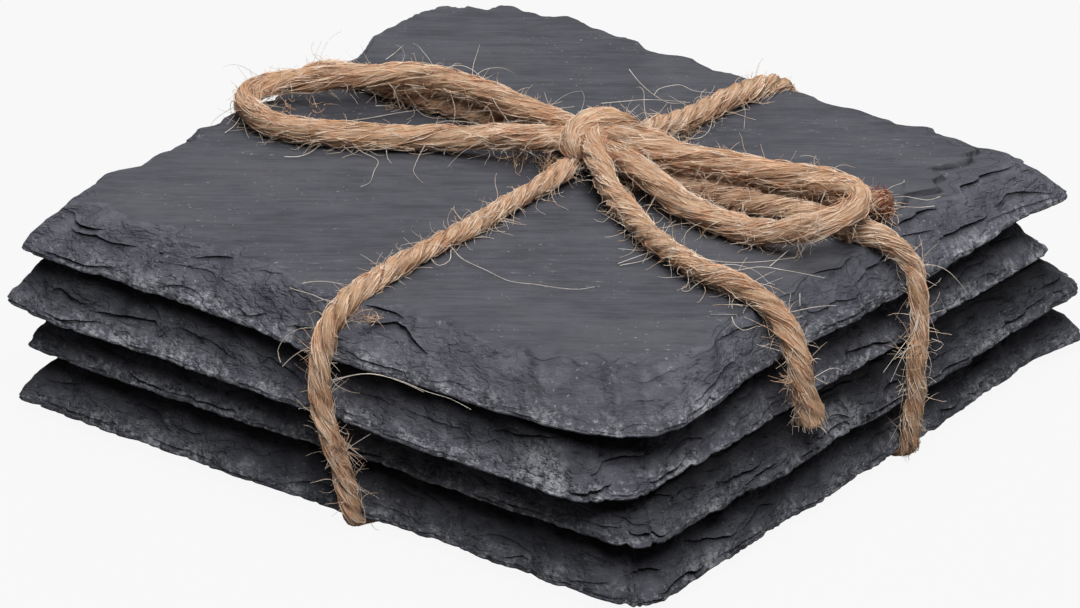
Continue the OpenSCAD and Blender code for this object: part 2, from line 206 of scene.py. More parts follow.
def makeSlate(c, shift):
    spec, rough = slatePaint, c["rough"]
    paint = Paint(bpy.data.materials.new(c["name"] + "Slate"))
    turn = (0, 0, -math.radians(spec["grainTurn"]))
    laid = paint.stretched(paint.node("TexCoord", output="Object"), (1, 1, 1), turn, shift)
    wall = paint.layer("wall", "Vector")
    edge, slope, crackShade = (paint.layer(k) for k in ("edge", "slope", "crackShade"))
    (streaks, grain, clouds, mottle, flecks, dots, sparse, broken, lumps, pits, facets,
     crumbs) = (paint.spots(laid, *fineness) for fineness in slatePatterns.values())
    bunches = paint.spots(wall, 110, 3, 0.6)
    # the split face: fine grain along the cleavage, and cloudy patches
    shade = streaks * 0.45 + grain * 0.55 + clouds * 0.5 + mottle * 0.4 - 0.45
    face = paint.mix(shade.above(0.28, 0.68), spec["dark"], spec["pale"])
    face = paint.mix(clouds.above(0.52, 0.7) * 0.14, face, spec["warm"])
    # the struck edge: blocky, with pits and fine creases
    blocks = broken * 0.4 + lumps * (0.8 * rough) + 0.3 - 0.4 * rough
    # its tones are paler than the face's: partly the broken stone's own colour, partly painted
    # light for the slopes, which get less light than the face
    chipped = paint.mix(blocks.above(0.36, 0.66), spec["chippedDark"], spec["chippedPale"])
    struck = (slope + (broken - 0.5) * 0.7).above(0.3, 0.62)
    facets = (facets - 0.5).maths("ABSOLUTE").above(0.0, 0.07)
    # small pale flecks, and dust of crushed stone on the edge
    pale = flecks.above(0.6, 0.8) * sparse.above(0.5, 0.64)
    pale = pale + dots.above(0.68, 0.76) * sparse.above(0.42, 0.6) * 0.9
    dusty = edge * (crumbs * 0.7 + bunches * 0.5).above(0.58, 0.72)
    dusty = dusty + struck * crumbs.above(0.6, 0.7) * bunches.above(0.5, 0.62) * 0.7
    # one crushed spot, at its share of the way round and its distance down the edge
    spot = ringPlace(c["bruise"][0]) + Vector((0, 0, c["bruise"][1]))
    far = paint.node("VectorMath", {"operation": "DISTANCE"}, {0: wall, 1: spot * mm}, "Value")
    dusty = dusty + far.above(0.0052, 0.001) * (crumbs * 0.8 + broken * 0.4).above(0.52, 0.66) * 1.4
    # painted shade: near black in the pits and the creases between facets of the struck edge, and
    # in the cracks under the flakes' steps
    base = paint.coats(paint.mix(struck * 0.85, face, chipped), spec, (
        (pits.above(0.42, 0.32) * struck * 0.6 * rough, "crackShade"),
        ((1 - facets) * struck * pits.above(0.5, 0.4) * 0.25, "crackShade"),
        (pale * 0.42, "bruise"),
        (dusty.maths("MINIMUM", 1.0) * 0.65, "bruise"),
        (crackShade * 0.9, "crackShade")))
    # painted shade in the gap under the next slate, darkest at the rim and fading down the edge,
    # with painted light towards the sharp edge where the second value is above 1
    rimShading, edgeShading = c["paintedShading"]
    down = paint.node("SeparateXYZ", None, {0: wall}, "Z").above(0.0012, 0.0115)
    base = paint.mix(1.0, base, down * (edgeShading - rimShading) + rimShading, "MULTIPLY")
    relief = (streaks * 0.25 + grain * 0.4 + mottle * 0.3 + broken * (slope * 1.3 * rough + 0.1)
              + pits * slope * 1.2 + facets * slope * 0.4 + crumbs * slope * 0.4)
    return paint.finish({
        "Base Color": base, "Roughness": grain * 0.12 + clouds * 0.12 + slope * 0.1 + 0.56,
        "Normal": paint.bump(relief, spec["relief"]), "Specular IOR Level": 0.05})


jutePaint = {
    "straw": srgb(244, 204, 168),
    "tan": srgb(226, 178, 142),
    "brown": srgb(172, 112, 80),
    # for the painted shade in the grooves between the plies and on the underside
    "deep": srgb(86, 46, 32),
    "pale": srgb(255, 234, 210),
    "gold": srgb(206, 166, 106),
    "rust": srgb(112, 50, 38),
    "rustLight": srgb(176, 104, 78),
    "fibreLight": srgb(240, 226, 210),
    "fibreDark": srgb(216, 186, 158),
    "matted": srgb(150, 118, 96),
    "shedLight": srgb(238, 230, 220),
    "shedDark": srgb(208, 194, 178),
    "relief": 0.0006,
}


def makeJute():
    spec = jutePaint
    paint = Paint(bpy.data.materials.new("juteTwine"))
    yarn = paint.layer("yarn", "Vector")
    groove, stainAndPaintedLight = paint.layer("groove"), paint.layer("stainAndPaintedLight")
    threads = paint.spots(yarn, (4200, 4200, 420), 4, 0.75)
    strands = paint.spots(yarn, (1800, 1800, 190), 3, 0.6)
    patches = paint.spots(yarn, (300, 300, 130), 3, 0.6)
    tints = paint.spots(yarn, (420, 420, 70), 2, 0.5, (0.3, 0, 0))
    base = paint.coats(paint.mix(strands.above(0.3, 0.7), spec["tan"], spec["straw"]), spec, (
        (tints.above(0.52, 0.72) * 0.4, "gold"),
        (threads.above(0.5, 0.64) * 0.7, "pale"),
        (threads.above(0.48, 0.36) * 0.75, "brown"),
        (patches.above(0.5, 0.7) * 0.5, "brown"),
        # painted shade: darker in the grooves between the plies and on the twine's underside
        (groove * 0.85 * threads.above(0.7, 0.4), "deep"),
        (stainAndPaintedLight * threads.above(0.62, 0.4) * 0.9, "rust"),
        ((0 - stainAndPaintedLight) * 0.5, "straw")))  # below 0 it is painted light, making the front tail's end paler
    return paint.finish({
        "Base Color": base, "Roughness": 0.95, "Specular IOR Level": 0.08,
        "Normal": paint.bump(threads * 0.9 + strands * 0.9, spec["relief"])})


def makeFibre(name, light, dark):
    paint = Paint(bpy.data.materials.new(name))
    mixed = paint.spots(paint.node("TexCoord", output="Object"), 400, 2, 0.5)
    base = paint.mix(mixed.above(0.35, 0.65), jutePaint[dark], jutePaint[light])
    return paint.finish({"Base Color": base, "Roughness": 0.8, "Specular IOR Level": 0.2})


# What the four coasters share
coasterSpec = {
    "chipDepth": 1.0,
    "chips": ((37, 0.6), (61, 0.4)),  # how many hollows go round, and their share of the depth
    "chipBlur": 0.0016,
    "nicks": ((2.2, 0.6), (1.0, 0.5)),  # length and depth of the small ones on the lower edge
    "lip": 0.6,
    "cornerRadius": 5.0,
    "cornerGrowth": 1.3,  # the corners are knocked off more towards the top
    "columns": 1200,  # points round the edge
    "roll": 1.0,  # how far inside its rim the face starts to round over
    "swell": 1.42,  # how convex the dressed edge is
    "tableGap": 1.8,  # thickness of the twine that the pile stands on
    "faceBand": 9.0,  # the face has closer rings over this width, at these shares of it
    "faceRings": (0.2, 0.36, 0.48, 0.57, 0.65, 0.72, 0.78, 0.84, 0.89, 0.94, 0.98),
    "underside": ((0.6, 0.12), (2.0, 0.06), (5.0, 0)),  # how far in, and how high
    "sharpAngle": 48,
}
# Shell-shaped flakes struck from the edge, in lanes down it
flakeSpec = {
    "lanes": 4,
    "end": 380,  # a lane is filled up to here
    "apart": 9,
    "half": (1.8, 6.5),  # half its width
    "height": (0.2, 0.95),  # in its own lane
    "arch": (-0.1, 0.17),
    "tilt": (-0.13, 0.13),
    "reach": 2.2,  # how far it bends its lane, in half widths
    "under": 0.75,  # how far the stone below it is hollowed
}
# The coasters from the bottom up. "push" is in hundredths of its size, "corners" are rounder
# where they are high, and the painted shading multiplies the colour: its first value is painted
# shade at the rim in the gap under the slate above, and its second, at the sharp lower edge, is
# painted light where it is above 1. "bruise" is a crushed spot: its place round and down the edge.
# The tables go round from the corner with the lowest x and y and pass the one with the highest x
# next: how far the lower edge is chipped back, how wide the slope is, how far the rim is cut in,
# how broken the slope is, and how deep the rim has flaked
coasters = [
    {"name": "slateBottom", "node": "slate_bottom", "size": (101.4, 101.4, 7.4), "bevel": 3.6,
     "seed": 11, "grid": 50, "push": (1.0, 0.2), "turn": 0.4, "corners": (0.2, 1.2, 0.7, 0.8),
     "paintedShading": (0.04, 1.0), "rough": 1.0, "bruise": (0.4, 7.6),
     "edge": [-.2, -.1, -.4, -.6, -.4, -.3, .4, .5, .2, 0, .2, .7, .4, .5, .2, .2, .1, .1, .2, .9,
              -1.0, -.6, 0, .3, .6, .2, .5, 0, .4, .3, .8, .2, .6, .3, 0, .4, .6, .2, .5, .2]},
    {"name": "slateLowerMiddle", "node": "slate_lower_middle", "size": (100.6, 99.6, 5.8),
     "bevel": 1.8, "seed": 23, "grid": 50, "push": (1.0, 0.6), "turn": 0,
     "corners": (0.2, 1.1, 1.1, 0.6), "paintedShading": (0.05, 0.95), "rough": 1.5, "bruise": (0.36, 7.4),
     "edge": [0, -.9, -.9, -.9, -.7, 0, .6, 0, .5, .5, .5, .7, .3, -.4, -.2, -.6, -.6, -1.1, -.7,
              -.6, -1.6, -.9, -.3, .2, .5, .1, .4, 0, .3, .2, .6, .1, .5, .2, .4, 0, .3, .6, .1,
              .3]},
    {"name": "slateUpperMiddle", "node": "slate_upper_middle", "size": (99.4, 99.4, 7.8),
     "bevel": 3.6, "seed": 37, "grid": 50, "push": (-1.9, -1.2), "turn": -0.7,
     "corners": (0.2, 1.3, 0.5, 0.8), "paintedShading": (0.03, 1.45), "rough": 1.1, "bruise": (0.225, 7.4),
     "edge": [0, -1.0, -.6, -.6, -.6, -.5, -.1, -.4, -.3, 0, .4, -.6, -.6, -.6, -.6, -.3, -.4, -.1,
              -.2, -.2, -.2, .4, .2, 0, .5, .3, 0, .6, .2, .3, .8, .2, .5, .1, .4, 0, .3, .5, .2,
              0]},
    {"name": "slateTop", "node": "slate_top", "size": (100.0, 98.0, 7.0), "bevel": 3.6,
     "seed": 52, "grid": 100, "push": (-0.9, -0.3), "turn": 0.2, "corners": (0.4, 2.1, 0.5, 1.8),
     "paintedShading": (1.0, 1.15), "rough": 0.8, "bruise": (0.9, 6),
     "edge": [.2, .1, .4, .2, -.2, -1.6, -.9, -.5, -.6, .5, .4, -.1, .1, 1.4, 1.0, 0, -.3, -.2,
              -.2, .1, -1.5, .6, 0, 0, -.3, 0, .6, 1.6, .6, .5, 1.5, .3, -.5, .3, 0, .2, 0, .4, 0,
              -.4],
     "slope": [1.5, 1.3, 1.0, 1.2, .9, .8, 1.1, 1.3, 1.2, .9, .7, .7, .6, .6, .5, .7, .9, 1.1, 1.2,
               1.3, 1.2, 1.2, .9, .9, .8, .8, 1.0, 1.3, 1.1, 1.0, .8, .6, .4, 1.0, .9, 1.1, 1.1,
               1.1, 1.3, 1.6],
     "trim": [-2.2, -.5] + [0] * 16 + [
         -.3, .2, .6, -2.2, 1.0, .5, 2.1, 2.0, -1.0, -3.8, -2.7, -2.0, -3.6, -3.2, -1.2, -.5, -.7,
         -.3, -1.7, -1.2, -.5, -2.2],
     "struck": [1] * 7 + [.8, .3, .1, .1, .3, .8] + [1] * 27,
     "ledge": [0] * 13 + [.05, .1, .2, .25, .4, .55, .65, .7, .3] + [0] * 18},
]


def pick(i, s):  # a number from 0 to 1, always the same for the same chip
    v = math.sin(math.radians(i * 97.3 + s * 57.1)) * 1543.7
    return v - math.floor(v)


def hollow(u, n, s):  # one of n hollows round the edge, each with its own depth
    i = math.floor(u * n)
    t = u * n - i
    return 4 * t * (1 - t) * pick(i % n, s)


def chips(u, s):  # softened, so that the joints between two chips don't show as creases
    near = [u + k * coasterSpec["chipBlur"] for k in (-1.5, -0.5, 0.5, 1.5)]
    (many, share), (more, rest) = coasterSpec["chips"]
    return sum(share * hollow(v, many, s) + rest * hollow(v, more, s + 1) for v in near) / len(near)


def along(c, name, u, plain=0):  # one of its tables, eased between two values
    if name not in c:
        return plain
    table = c[name]
    i = math.floor(u * len(table))
    t = u * len(table) - i
    t = t * t * (3 - 2 * t) * 0.5 + t * 0.5
    return table[i % len(table)] * (1 - t) + table[(i + 1) % len(table)] * t


def edgeInset(c, u):  # how far the lower edge lies inside the plain square
    return coasterSpec["chipDepth"] * (along(c, "edge", u) + 0.7 * chips(u, c["seed"]))


def rimInset(c, u):  # the same for the rim of the face, past the dressed slope
    width = along(c, "slope", u, 0.8 + 0.5 * hollow(u, 13, c["seed"] + 3))
    steps = sum(1 + 1.2 * (chips(u, c["seed"] + 5 * k) - 1 / 3) for k in (1, 2, 3))
    lean = 0.18 * (c["size"][2] - coasterSpec["lip"]) / 3
    return edgeInset(c, u) + 0.15 + c["bevel"] / 3 * width * steps + lean + along(c, "trim", u)


def outlinePoint(c, u, inset):  # on a rounded square that much smaller than the coaster
    side = math.floor(4 * u) % 4
    f = 2 * (4 * u - math.floor(4 * u)) - 1
    ex, ey = ((f, -1), (1, f), (-f, 1), (-1, -f))[side]
    hx, hy = c["size"][0] / 2 - inset, c["size"][1] / 2 - inset
    r = coasterSpec["cornerRadius"] * c["corners"][round(4 * u) % 4]
    r += coasterSpec["cornerGrowth"] * max(inset, 0)
    q = Vector((ex * hx, ey * hy))
    inner = Vector((min(max(q.x, r - hx), hx - r), min(max(q.y, r - hy), hy - r)))
    return inner + (q - inner).normalized() * r


def wave(u, length, seed):  # smooth noise round the edge, with that wavelength
    return noise.noise(ringPlace(u) / length + Vector((0, 0, seed * 7.31)))


def ramp(v, low, high):  # 0 below low, 1 above high, smooth between
    t = min(max((v - low) / (high - low), 0), 1)
    return t * t * (3 - 2 * t)


def strikeFlakes(c):  # the flakes of each lane, with "at" measured round the edge
    source, spec = random.Random(c["seed"]), flakeSpec
    lanes = []
    for lane in range(spec["lanes"]):
        flakes, at = [], source.uniform(0, spec["apart"])
        while at < spec["end"]:
            half = source.uniform(*spec["half"])
            flakes.append({
                "at": at + half, "half": half,
                "height": (lane + source.uniform(*spec["height"])) / spec["lanes"],
                "arch": source.uniform(*spec["arch"]), "tilt": source.uniform(*spec["tilt"]),
                "depth": (0.15 + 0.75 * source.random() ** 1.6) * min(1, half / 4)})
            at += 2 * half + source.expovariate(1 / spec["apart"])
        lanes.append(flakes)
    return lanes


def laneAt(flakes, middle, d):  # height of the lane's step there, and how deep it is
    weight, height, depth = 0.03, 0.03 * middle, 0
    for flake in flakes:
        t = (d - flake["at"]) / flake["half"]
        if abs(t) < flakeSpec["reach"]:
            w = (1 - abs(t) / flakeSpec["reach"]) ** 2
            t = min(max(t, -1.15), 1.15)
            weight += w
            height += w * (flake["height"] + flake["tilt"] * t + flake["arch"] * t * t)
            if abs(t) < 1:
                depth = flake["depth"] * (1 - t * t) ** 0.7
    return height / weight, depth


def slateColumn(c, u):
    # one column down the dressed edge, from the rim to the sharp lower edge:
    # (inset, height, edge, slope, painted shade in its cracks, share of the way down)
    thick, lip, seed = c["size"][2], coasterSpec["lip"], c["seed"]
    calm = along(c, "struck", u, 1)  # less broken where it is low
    nick = sum(max(0, wave(u, length, seed + 1 + k)) * depth
               for k, (length, depth) in enumerate(coasterSpec["nicks"]))
    low = edgeInset(c, u) + nick * (0.35 + 0.65 * calm) - 0.55 + 0.35 * wave(u, 6, seed + 3)
    high = rimInset(c, u) + 0.8 * wave(u, 5, seed + 4) + 0.3 * calm * wave(u, 1.8, seed + 5)
    high = low + max(high - low, 1.3) + coasterSpec["roll"]
    run, drop = high - low, thick - lip
    size = math.hypot(run, drop)
    out, up = drop / size, run / size
    count = flakeSpec["lanes"]
    steps = []
    for lane, flakes in enumerate(c["flakes"]):
        at, depth = laneAt(flakes, (lane + 0.55) / count, u * ringLength)
        at += 0.025 * calm * wave(u, 2.5, seed + 31 + lane)
        at = max(at, 0.07 if not steps else steps[-1][0] + 0.1)
        steps.append([at, depth * calm])
    for k, step in enumerate(steps):
        step[0] = min(step[0], 0.95 - 0.1 * (count - 1 - k))
    rows = [(high, thick, 0, 0, 0, 0)]

    def put(s, lift, crackShade):
        lift -= sum(flakeSpec["under"] * depth * max(0, 1 - (s - at) / 0.4) ** 1.5
                    for at, depth in steps if s > at)
        z = thick - drop * s ** coasterSpec["swell"] + lift * up
        broken = ramp(s, 0, 0.22) * (0.35 + 0.65 * calm)
        rows.append((high - run * s - lift * out, min(z, thick), ramp(s, 0.7, 1), broken, crackShade, s))

    last = 0
    for at, depth in steps:
        for f in (0.35, 0.75):
            put(last + (at - last) * f, 0, 0)
        put(at, depth * 0.12, 0)
        # the undercut at the step's foot gets painted shadow
        tuck = at + 0.006 - 0.022 * min(depth * 2, 1)
        put(tuck, -depth * (0.75 if tuck <= at else 0.05), min(depth * 4, 1))
        last = at + 0.03
        put(last, 0, min(depth * 1.2, 0.4))
    for f in (0.4, 0.8):
        put(last + (1 - last) * f, 0, 0)
    lipTop = lip * (1 + 0.7 * wave(u, 2, seed + 6))
    return rows + [(low + inside, z, 1, 1, 0, 1)
                   for inside, z in ((0.12, lipTop), (-0.02, lip * 0.5), (0.1, 0.04))]


def shareOf(place):  # share of the way round, and of the way out, on a grid from -1 to 1
    reach = max(abs(place.x), abs(place.y))
    if reach < 1e-9:
        return 0, 0
    x, y = place.x / reach, place.y / reach
    if y <= -1 + 1e-6:
        side = (x + 1) / 2
    elif x >= 1 - 1e-6:
        side = 1 + (y + 1) / 2
    elif y >= 1 - 1e-6:
        side = 2 + (1 - x) / 2
    else:
        side = 3 + (1 - y) / 2
    return (side / 4) % 1, reach


def faceRelief(p, seed):  # low swells along the grain of the split
    turn = math.radians(slatePaint["grainTurn"])
    x = p.x * math.cos(turn) + p.y * math.sin(turn)
    y = -p.x * math.sin(turn) + p.y * math.cos(turn)
    soft = noise.noise(Vector((x / 26, y / 9, seed)))
    soft += 0.5 * noise.noise(Vector((x / 9, y / 2.4, seed + 5)))
    return -0.09 - 0.07 * soft


def listed(p):  # a number that hardly two places share, to sort by
    return p.x * math.sqrt(2) + p.y * math.sqrt(3) + p.z * math.sqrt(5)


def makeCoaster(c, base, shift):
    spec = coasterSpec
    columns, band, coarse = spec["columns"], spec["faceBand"], c["grid"]
    width, thick, seed = c["size"][0], c["size"][2], c["seed"]
    c["flakes"] = strikeFlakes(c)
    bm = bmesh.new()
    edge, slope, crackShade = (bm.verts.layers.float.new(k) for k in ("edge", "slope", "crackShade"))
    wall = bm.verts.layers.float_vector.new("wall")
    bmesh.ops.create_grid(bm, x_segments=coarse, y_segments=coarse, size=1)
    rim = [e for e in bm.edges if e.is_boundary]
    bmesh.ops.subdivide_edges(bm, edges=rim, cuts=columns // 4 // coarse - 1)
    shares = {v: shareOf(v.co) for v in bm.verts}
    loop = [e for e in bm.edges if e.is_boundary]
    ring = {v for e in loop for v in e.verts}
    table = {round(shares[v][0] * columns): slateColumn(c, shares[v][0]) for v in ring}
    rowCount = len(table[0])
    edgeRows = rowCount - 3  # the rest is the lip

    def mark(v, values, down):
        v[edge], v[slope], v[crackShade] = values
        place = ringPlace(shares[v][0])
        v[wall] = Vector((place.x, place.y, down)) * mm

    def flaked(u):  # where a thin top layer has come away inside the rim: reach and depth
        ledge = along(c, "ledge", u)
        reach = 0.8 + 4.5 * max(0, wave(u, 12, seed + 91)) + 0.9 * wave(u, 3.5, seed + 92)
        return reach + 2 * ledge, 0.2 * ramp(wave(u, 15, seed + 93), -0.05, 0.2) + ledge

    for v in list(bm.verts):
        u, reach = shares[v]
        key = round(u * columns) % columns
        p = outlinePoint(c, u, table[key][0][0] if key in table else rimInset(c, u))
        p = p * ((p.length - band) / p.length * reach)
        v.co = Vector((p.x, p.y, thick + faceRelief(p, seed)))
        mark(v, (0, 0, 0), -band)

    def nextRing(edges, placer, *settings):
        made = bmesh.ops.extrude_edge_only(bm, edges=edges)["geom"]
        fresh = [g for g in made if isinstance(g, bmesh.types.BMEdge) and g.is_boundary]
        # each new vertex takes its share from the old one that it was pulled from
        pulled = {}
        for v in {v for e in fresh for v in e.verts}:
            old = (e.other_vert(v) for e in v.link_edges)
            pulled[v] = next(shares[o] for o in old if o in shares)
        shares.update(pulled)
        for v, (u, reach) in pulled.items():
            placer(v, u, table[round(u * columns) % columns], *settings)
        return fresh

    def onFace(v, u, column, share):
        p = outlinePoint(c, u, column[0][0])
        far = band * (1 - share)
        p = p * ((p.length - far) / p.length)
        reach, depth = flaked(u)
        sunk = depth * ramp(reach - far, -0.15, 0.15)
        v.co = Vector((p.x, p.y, thick + faceRelief(p, seed) * min(1, 0.3 + far / 3) - sunk))
        fresh = 0.35 * ramp(reach - far, -0.2, 0.4) * min(depth * 8, 1)
        # painted shadow along the edge where the thin top layer has come away
        step = max(0, 1 - abs(reach - far) / 0.5) * ramp(depth, 0.25, 0.5)
        mark(v, (0, fresh, step), -far)

    def onEdge(v, u, column, row):
        inset, z, *marks, down = column[row]
        p = outlinePoint(c, u, inset)
        if row < edgeRows:
            q = Vector((p.x / 6, p.y / 6, z / 4 + seed))
            bump = 0.5 * noise.noise(q) + 0.26 * noise.noise(q * 2.6) + 0.13 * noise.noise(q * 6.5)
            bump *= ramp(down, 0, 0.12) * (0.55 + 0.45 * c["rough"])
            p = p + p.normalized() * bump
            z = min(z + bump * 0.5, thick - 0.02) - flaked(u)[1] * (1 - down)
        if row == 0:
            z = thick - flaked(u)[1] - 0.05
        v.co = Vector((p.x, p.y, z))
        mark(v, marks, down * 9 + max(0, row - edgeRows) * 0.35)

    def onUnderside(v, u, column, inside, z):
        p = outlinePoint(c, u, column[-1][0] + inside)
        v.co = Vector((p.x, p.y, z * (1 + wave(u, 4, seed + 8))))
        mark(v, (0.3, 0.4, 0), 9 + inside)

    for share in spec["faceRings"]:
        loop = nextRing(loop, onFace, share)
    for row in range(rowCount):
        loop = nextRing(loop, onEdge, row)
    for inside, z in spec["underside"]:
        loop = nextRing(loop, onUnderside, inside, z)
    bmesh.ops.contextual_create(bm, geom=loop)
    bmesh.ops.triangulate(bm, faces=[f for f in bm.faces if len(f.verts) > 8])
    x, y = (push * width / 100 for push in c["push"])
    place = (Matrix.Translation(Vector((x, y, base)))
             @ Matrix.Rotation(math.radians(c["turn"]), 4, "Z"))
    bmesh.ops.transform(bm, matrix=Matrix.Scale(mm, 4) @ place, verts=bm.verts)
    bmesh.ops.recalc_face_normals(bm, faces=bm.faces)
    for f in bm.faces:
        f.smooth = True
    # extruding leaves them in an order that changes from run to run
    bm.verts.sort(key=lambda v: listed(v.co))
    bm.faces.sort(key=lambda f: listed(f.calc_center_median()))
    mesh = meshFrom(bm, c["name"])
    mesh.set_sharp_from_angle(angle=math.radians(spec["sharpAngle"]))
    mesh.materials.append(makeSlate(c, shift))
    piece = link(bpy.data.objects.new(c["name"], mesh))
    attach(piece, "root")
    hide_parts(c["node"])


faceHeight = coasterSpec["tableGap"]
for number, coaster in enumerate(coasters):
    makeCoaster(coaster, faceHeight, (0.013 * number, 0.037 * number, 0.021 * number))
    faceHeight += coaster["size"][2]
    print("coaster", number + 1, "made")

# Twine: plies of soft fibre twisted together
twineSpec = {
    "diameter": 3.5,
    "tight": {"lay": 9.4, "plies": 3, "groove": 0.2, "fullness": 0.82},  # lay: one full twist
    "loose": {"lay": 26.0, "plies": 2, "groove": 0.16, "fullness": 0.92},  # the bow has untwisted
    "fibreLay": 2.3,  # the fibres' own twist, in lays
    "around": 40,
    "step": 0.38,
    "wander": 0.9,  # how unevenly it is twisted
    "fluff": 0.12,
    "hiddenEnd": 2.4,  # a strand that ends inside the knot thins over this length
    "usual": (0, 0, 1, 1.85, 1.85),  # what follows a station's centre, where it is left out
}
# Stations of the wrap, from the knot's front round the pile and back to the knot: centre,
# the way its flat side faces, half its width and half its thickness
wrapStations = [
    (3.4, 0.8, 32.8), (3.1, -3.4, 31.9, 0, 0, 1, 1.6, 1.6), (2.9, -9.5, 31.4, 0, 0, 1, 1.5, 1.5),
    (3.2, -20.6, 31.3, 0, 0, 1, 1.45, 1.45), (3.2, -32, 31.3, 0, 0, 1, 1.5, 1.5),
    (3.5, -40, 31.3, 0, 0, 1, 1.6, 1.6), (3.3, -44.4, 30.8, 0, -.25, .96, 1.7, 1.7),
    (2.8, -47.7, 29.5, 0, -.5, .86, 1.75, 1.75), (2.4, -49.8, 27.8, 0, -.75, .66, 1.75, 1.75),
    (2.4, -51.2, 26, 0, -.88, .47, 1.75, 1.75), (2.5, -52.2, 23.6, 0, -.96, .28, 1.7, 1.7),
    (2.8, -52.9, 20.6, 0, -1, .1, 1.65, 1.65), (3.3, -53.2, 17, 0, -1, 0, 1.6, 1.6),
    (4.2, -53.2, 14.4, 0, -1, -.05, 1.5, 1.5), (5.9, -52.6, 9, 0, -.99, -.11, 1.5, 1.5),
    (6.7, -51.8, 3.9, 0, -1, -.08, 1.55, 1.55), (6.9, -51.3, 1.75, 0, -.97, -.2, 1.6, 1.4),
    (6.9, -50.2, 1.18, 0, -.71, -.71, 1.6, .9), (7.2, -47.88, .9, 0, 0, -1, 2, .9),
    (8.4, -5.4, .9, 0, 0, -1, 2.7, .9), (8.4, -.5, 1.38, 0, 0, -1, 3, .42),
    (8.4, 5.5, 1.38, 0, 0, -1, 3, .42), (7.67, 7.67, .9, 0, 0, -1, 2.3, .42),
    (5.5, 8.4, .42, 0, 0, -1, 3, .42), (-.5, 8.4, .42, 0, 0, -1, 3, .42),
    (-5.4, 8.4, .9, 0, 0, -1, 2.7, .9), (-47.66, 5.77, .9, 0, 0, -1, 2.7, .9),
    (-50.18, 5.83, 1.18, -.71, 0, -.71, 2.7, .72), (-51.56, 5.92, 1.7, -1, 0, -.05),
    (-52.3, 7.31, 9, -.99, 0, -.1), (-52.89, 8.44, 14.94, -1, 0, -.03),
    (-52.35, 8.46, 22.4, -.98, 0, .2), (-51.1, 8.14, 25.5, -.9, 0, .43),
    (-49.7, 7.92, 27.6, -.84, 0, .55, 1.85, 1.8), (-47.9, 7.85, 29.4, -.64, 0, .77, 1.85, 1.75),
    (-45.4, 7.8, 30.8, -.4, 0, .92, 1.85, 1.8), (-42.0, 7.8, 31.55, -.1, 0, 1), (-24, 7.64, 31.65),
    (-8, 7.74, 31.65), (-1, 7.45, 31.1, 0, 0, 1, 2.7, 1.3), (8, 6.57, 31.1, 0, 0, 1, 2.7, 1.3),
    (15, 5.78, 31.65), (25, 5.9, 31.6), (38, 7.5, 31.6), (43.5, 7.6, 31.5),
    (46.6, 8.3, 31.2, .3, 0, .95, 1.8, 1.8), (49, 9.5, 29.5, .65, 0, .76, 1.6, 1.6),
    (50.7, 10.6, 27.1, .88, 0, .47, 1.4, 1.4), (52, 10.1, 24.3, .96, 0, .28, 1.35, 1.35),
    (52.8, 9.5, 21, 1, 0, .1, 1.35, 1.35), (53.2, 8.9, 18, 1, 0, 0, 1.45, 1.45),
    (53.4, 8.2, 14, 1, 0, 0, 1.5, 1.5), (53.3, 8.4, 10, 1, 0, 0, 1.5, 1.5),
    (52.9, 8.3, 6, 1, 0, -.1, 1.5, 1.5), (52.3, 8.8, 2.2, 1, 0, -.2, 1.65, 1.6),
    (50.92, 8.8, 1.18, .71, 0, -.71, 1.7, .9), (48.41, 8.88, .9, 0, 0, -1, 2.7, .9),
    (16.4, 2.6, .9, 0, 0, -1, 2.7, .9), (11.5, 2.6, .42, 0, 0, -1, 3, .42),
    (5.5, 2.6, .42, 0, 0, -1, 3, .42), (3.33, 3.33, .9, 0, 0, -1, 2.3, .42),
    (2.6, 5.5, 1.38, 0, 0, -1, 3, .42), (2.6, 11.5, 1.38, 0, 0, -1, 3, .42),
    (2.6, 16.4, .9, 0, 0, -1, 2.7, .9), (4.48, 48.55, .9, 0, 0, -1, 2.7, .9),
    (4.51, 51.07, 1.18, 0, .71, -.71, 2.7, .72), (4.56, 52.45, 1.84, 0, 1, .02),
    (5.24, 52.15, 9.35, 0, 1, .08), (5.7, 51.3, 15.2, 0, .99, .11), (5.4, 50, 21.6, 0, .97, .26),
    (5.3, 48.6, 24.6, 0, .9, .43), (5.7, 47.1, 26.9, 0, .84, .55, 1.85, 1.8),
    (6.1, 45.7, 28.5, 0, .7, .71, 1.85, 1.8), (6.3, 44, 29.7, 0, .5, .87, 1.85, 1.8),
    (6.3, 41.8, 30.7, 0, .25, .97), (6.1, 38.6, 31.3, 0, .05, 1), (5.7, 33, 31.6),
    (5.3, 25.5, 31.7), (5, 19.6, 32.1), (4.8, 15.19, 32.6), (4.8, 12.35, 33.13),
]
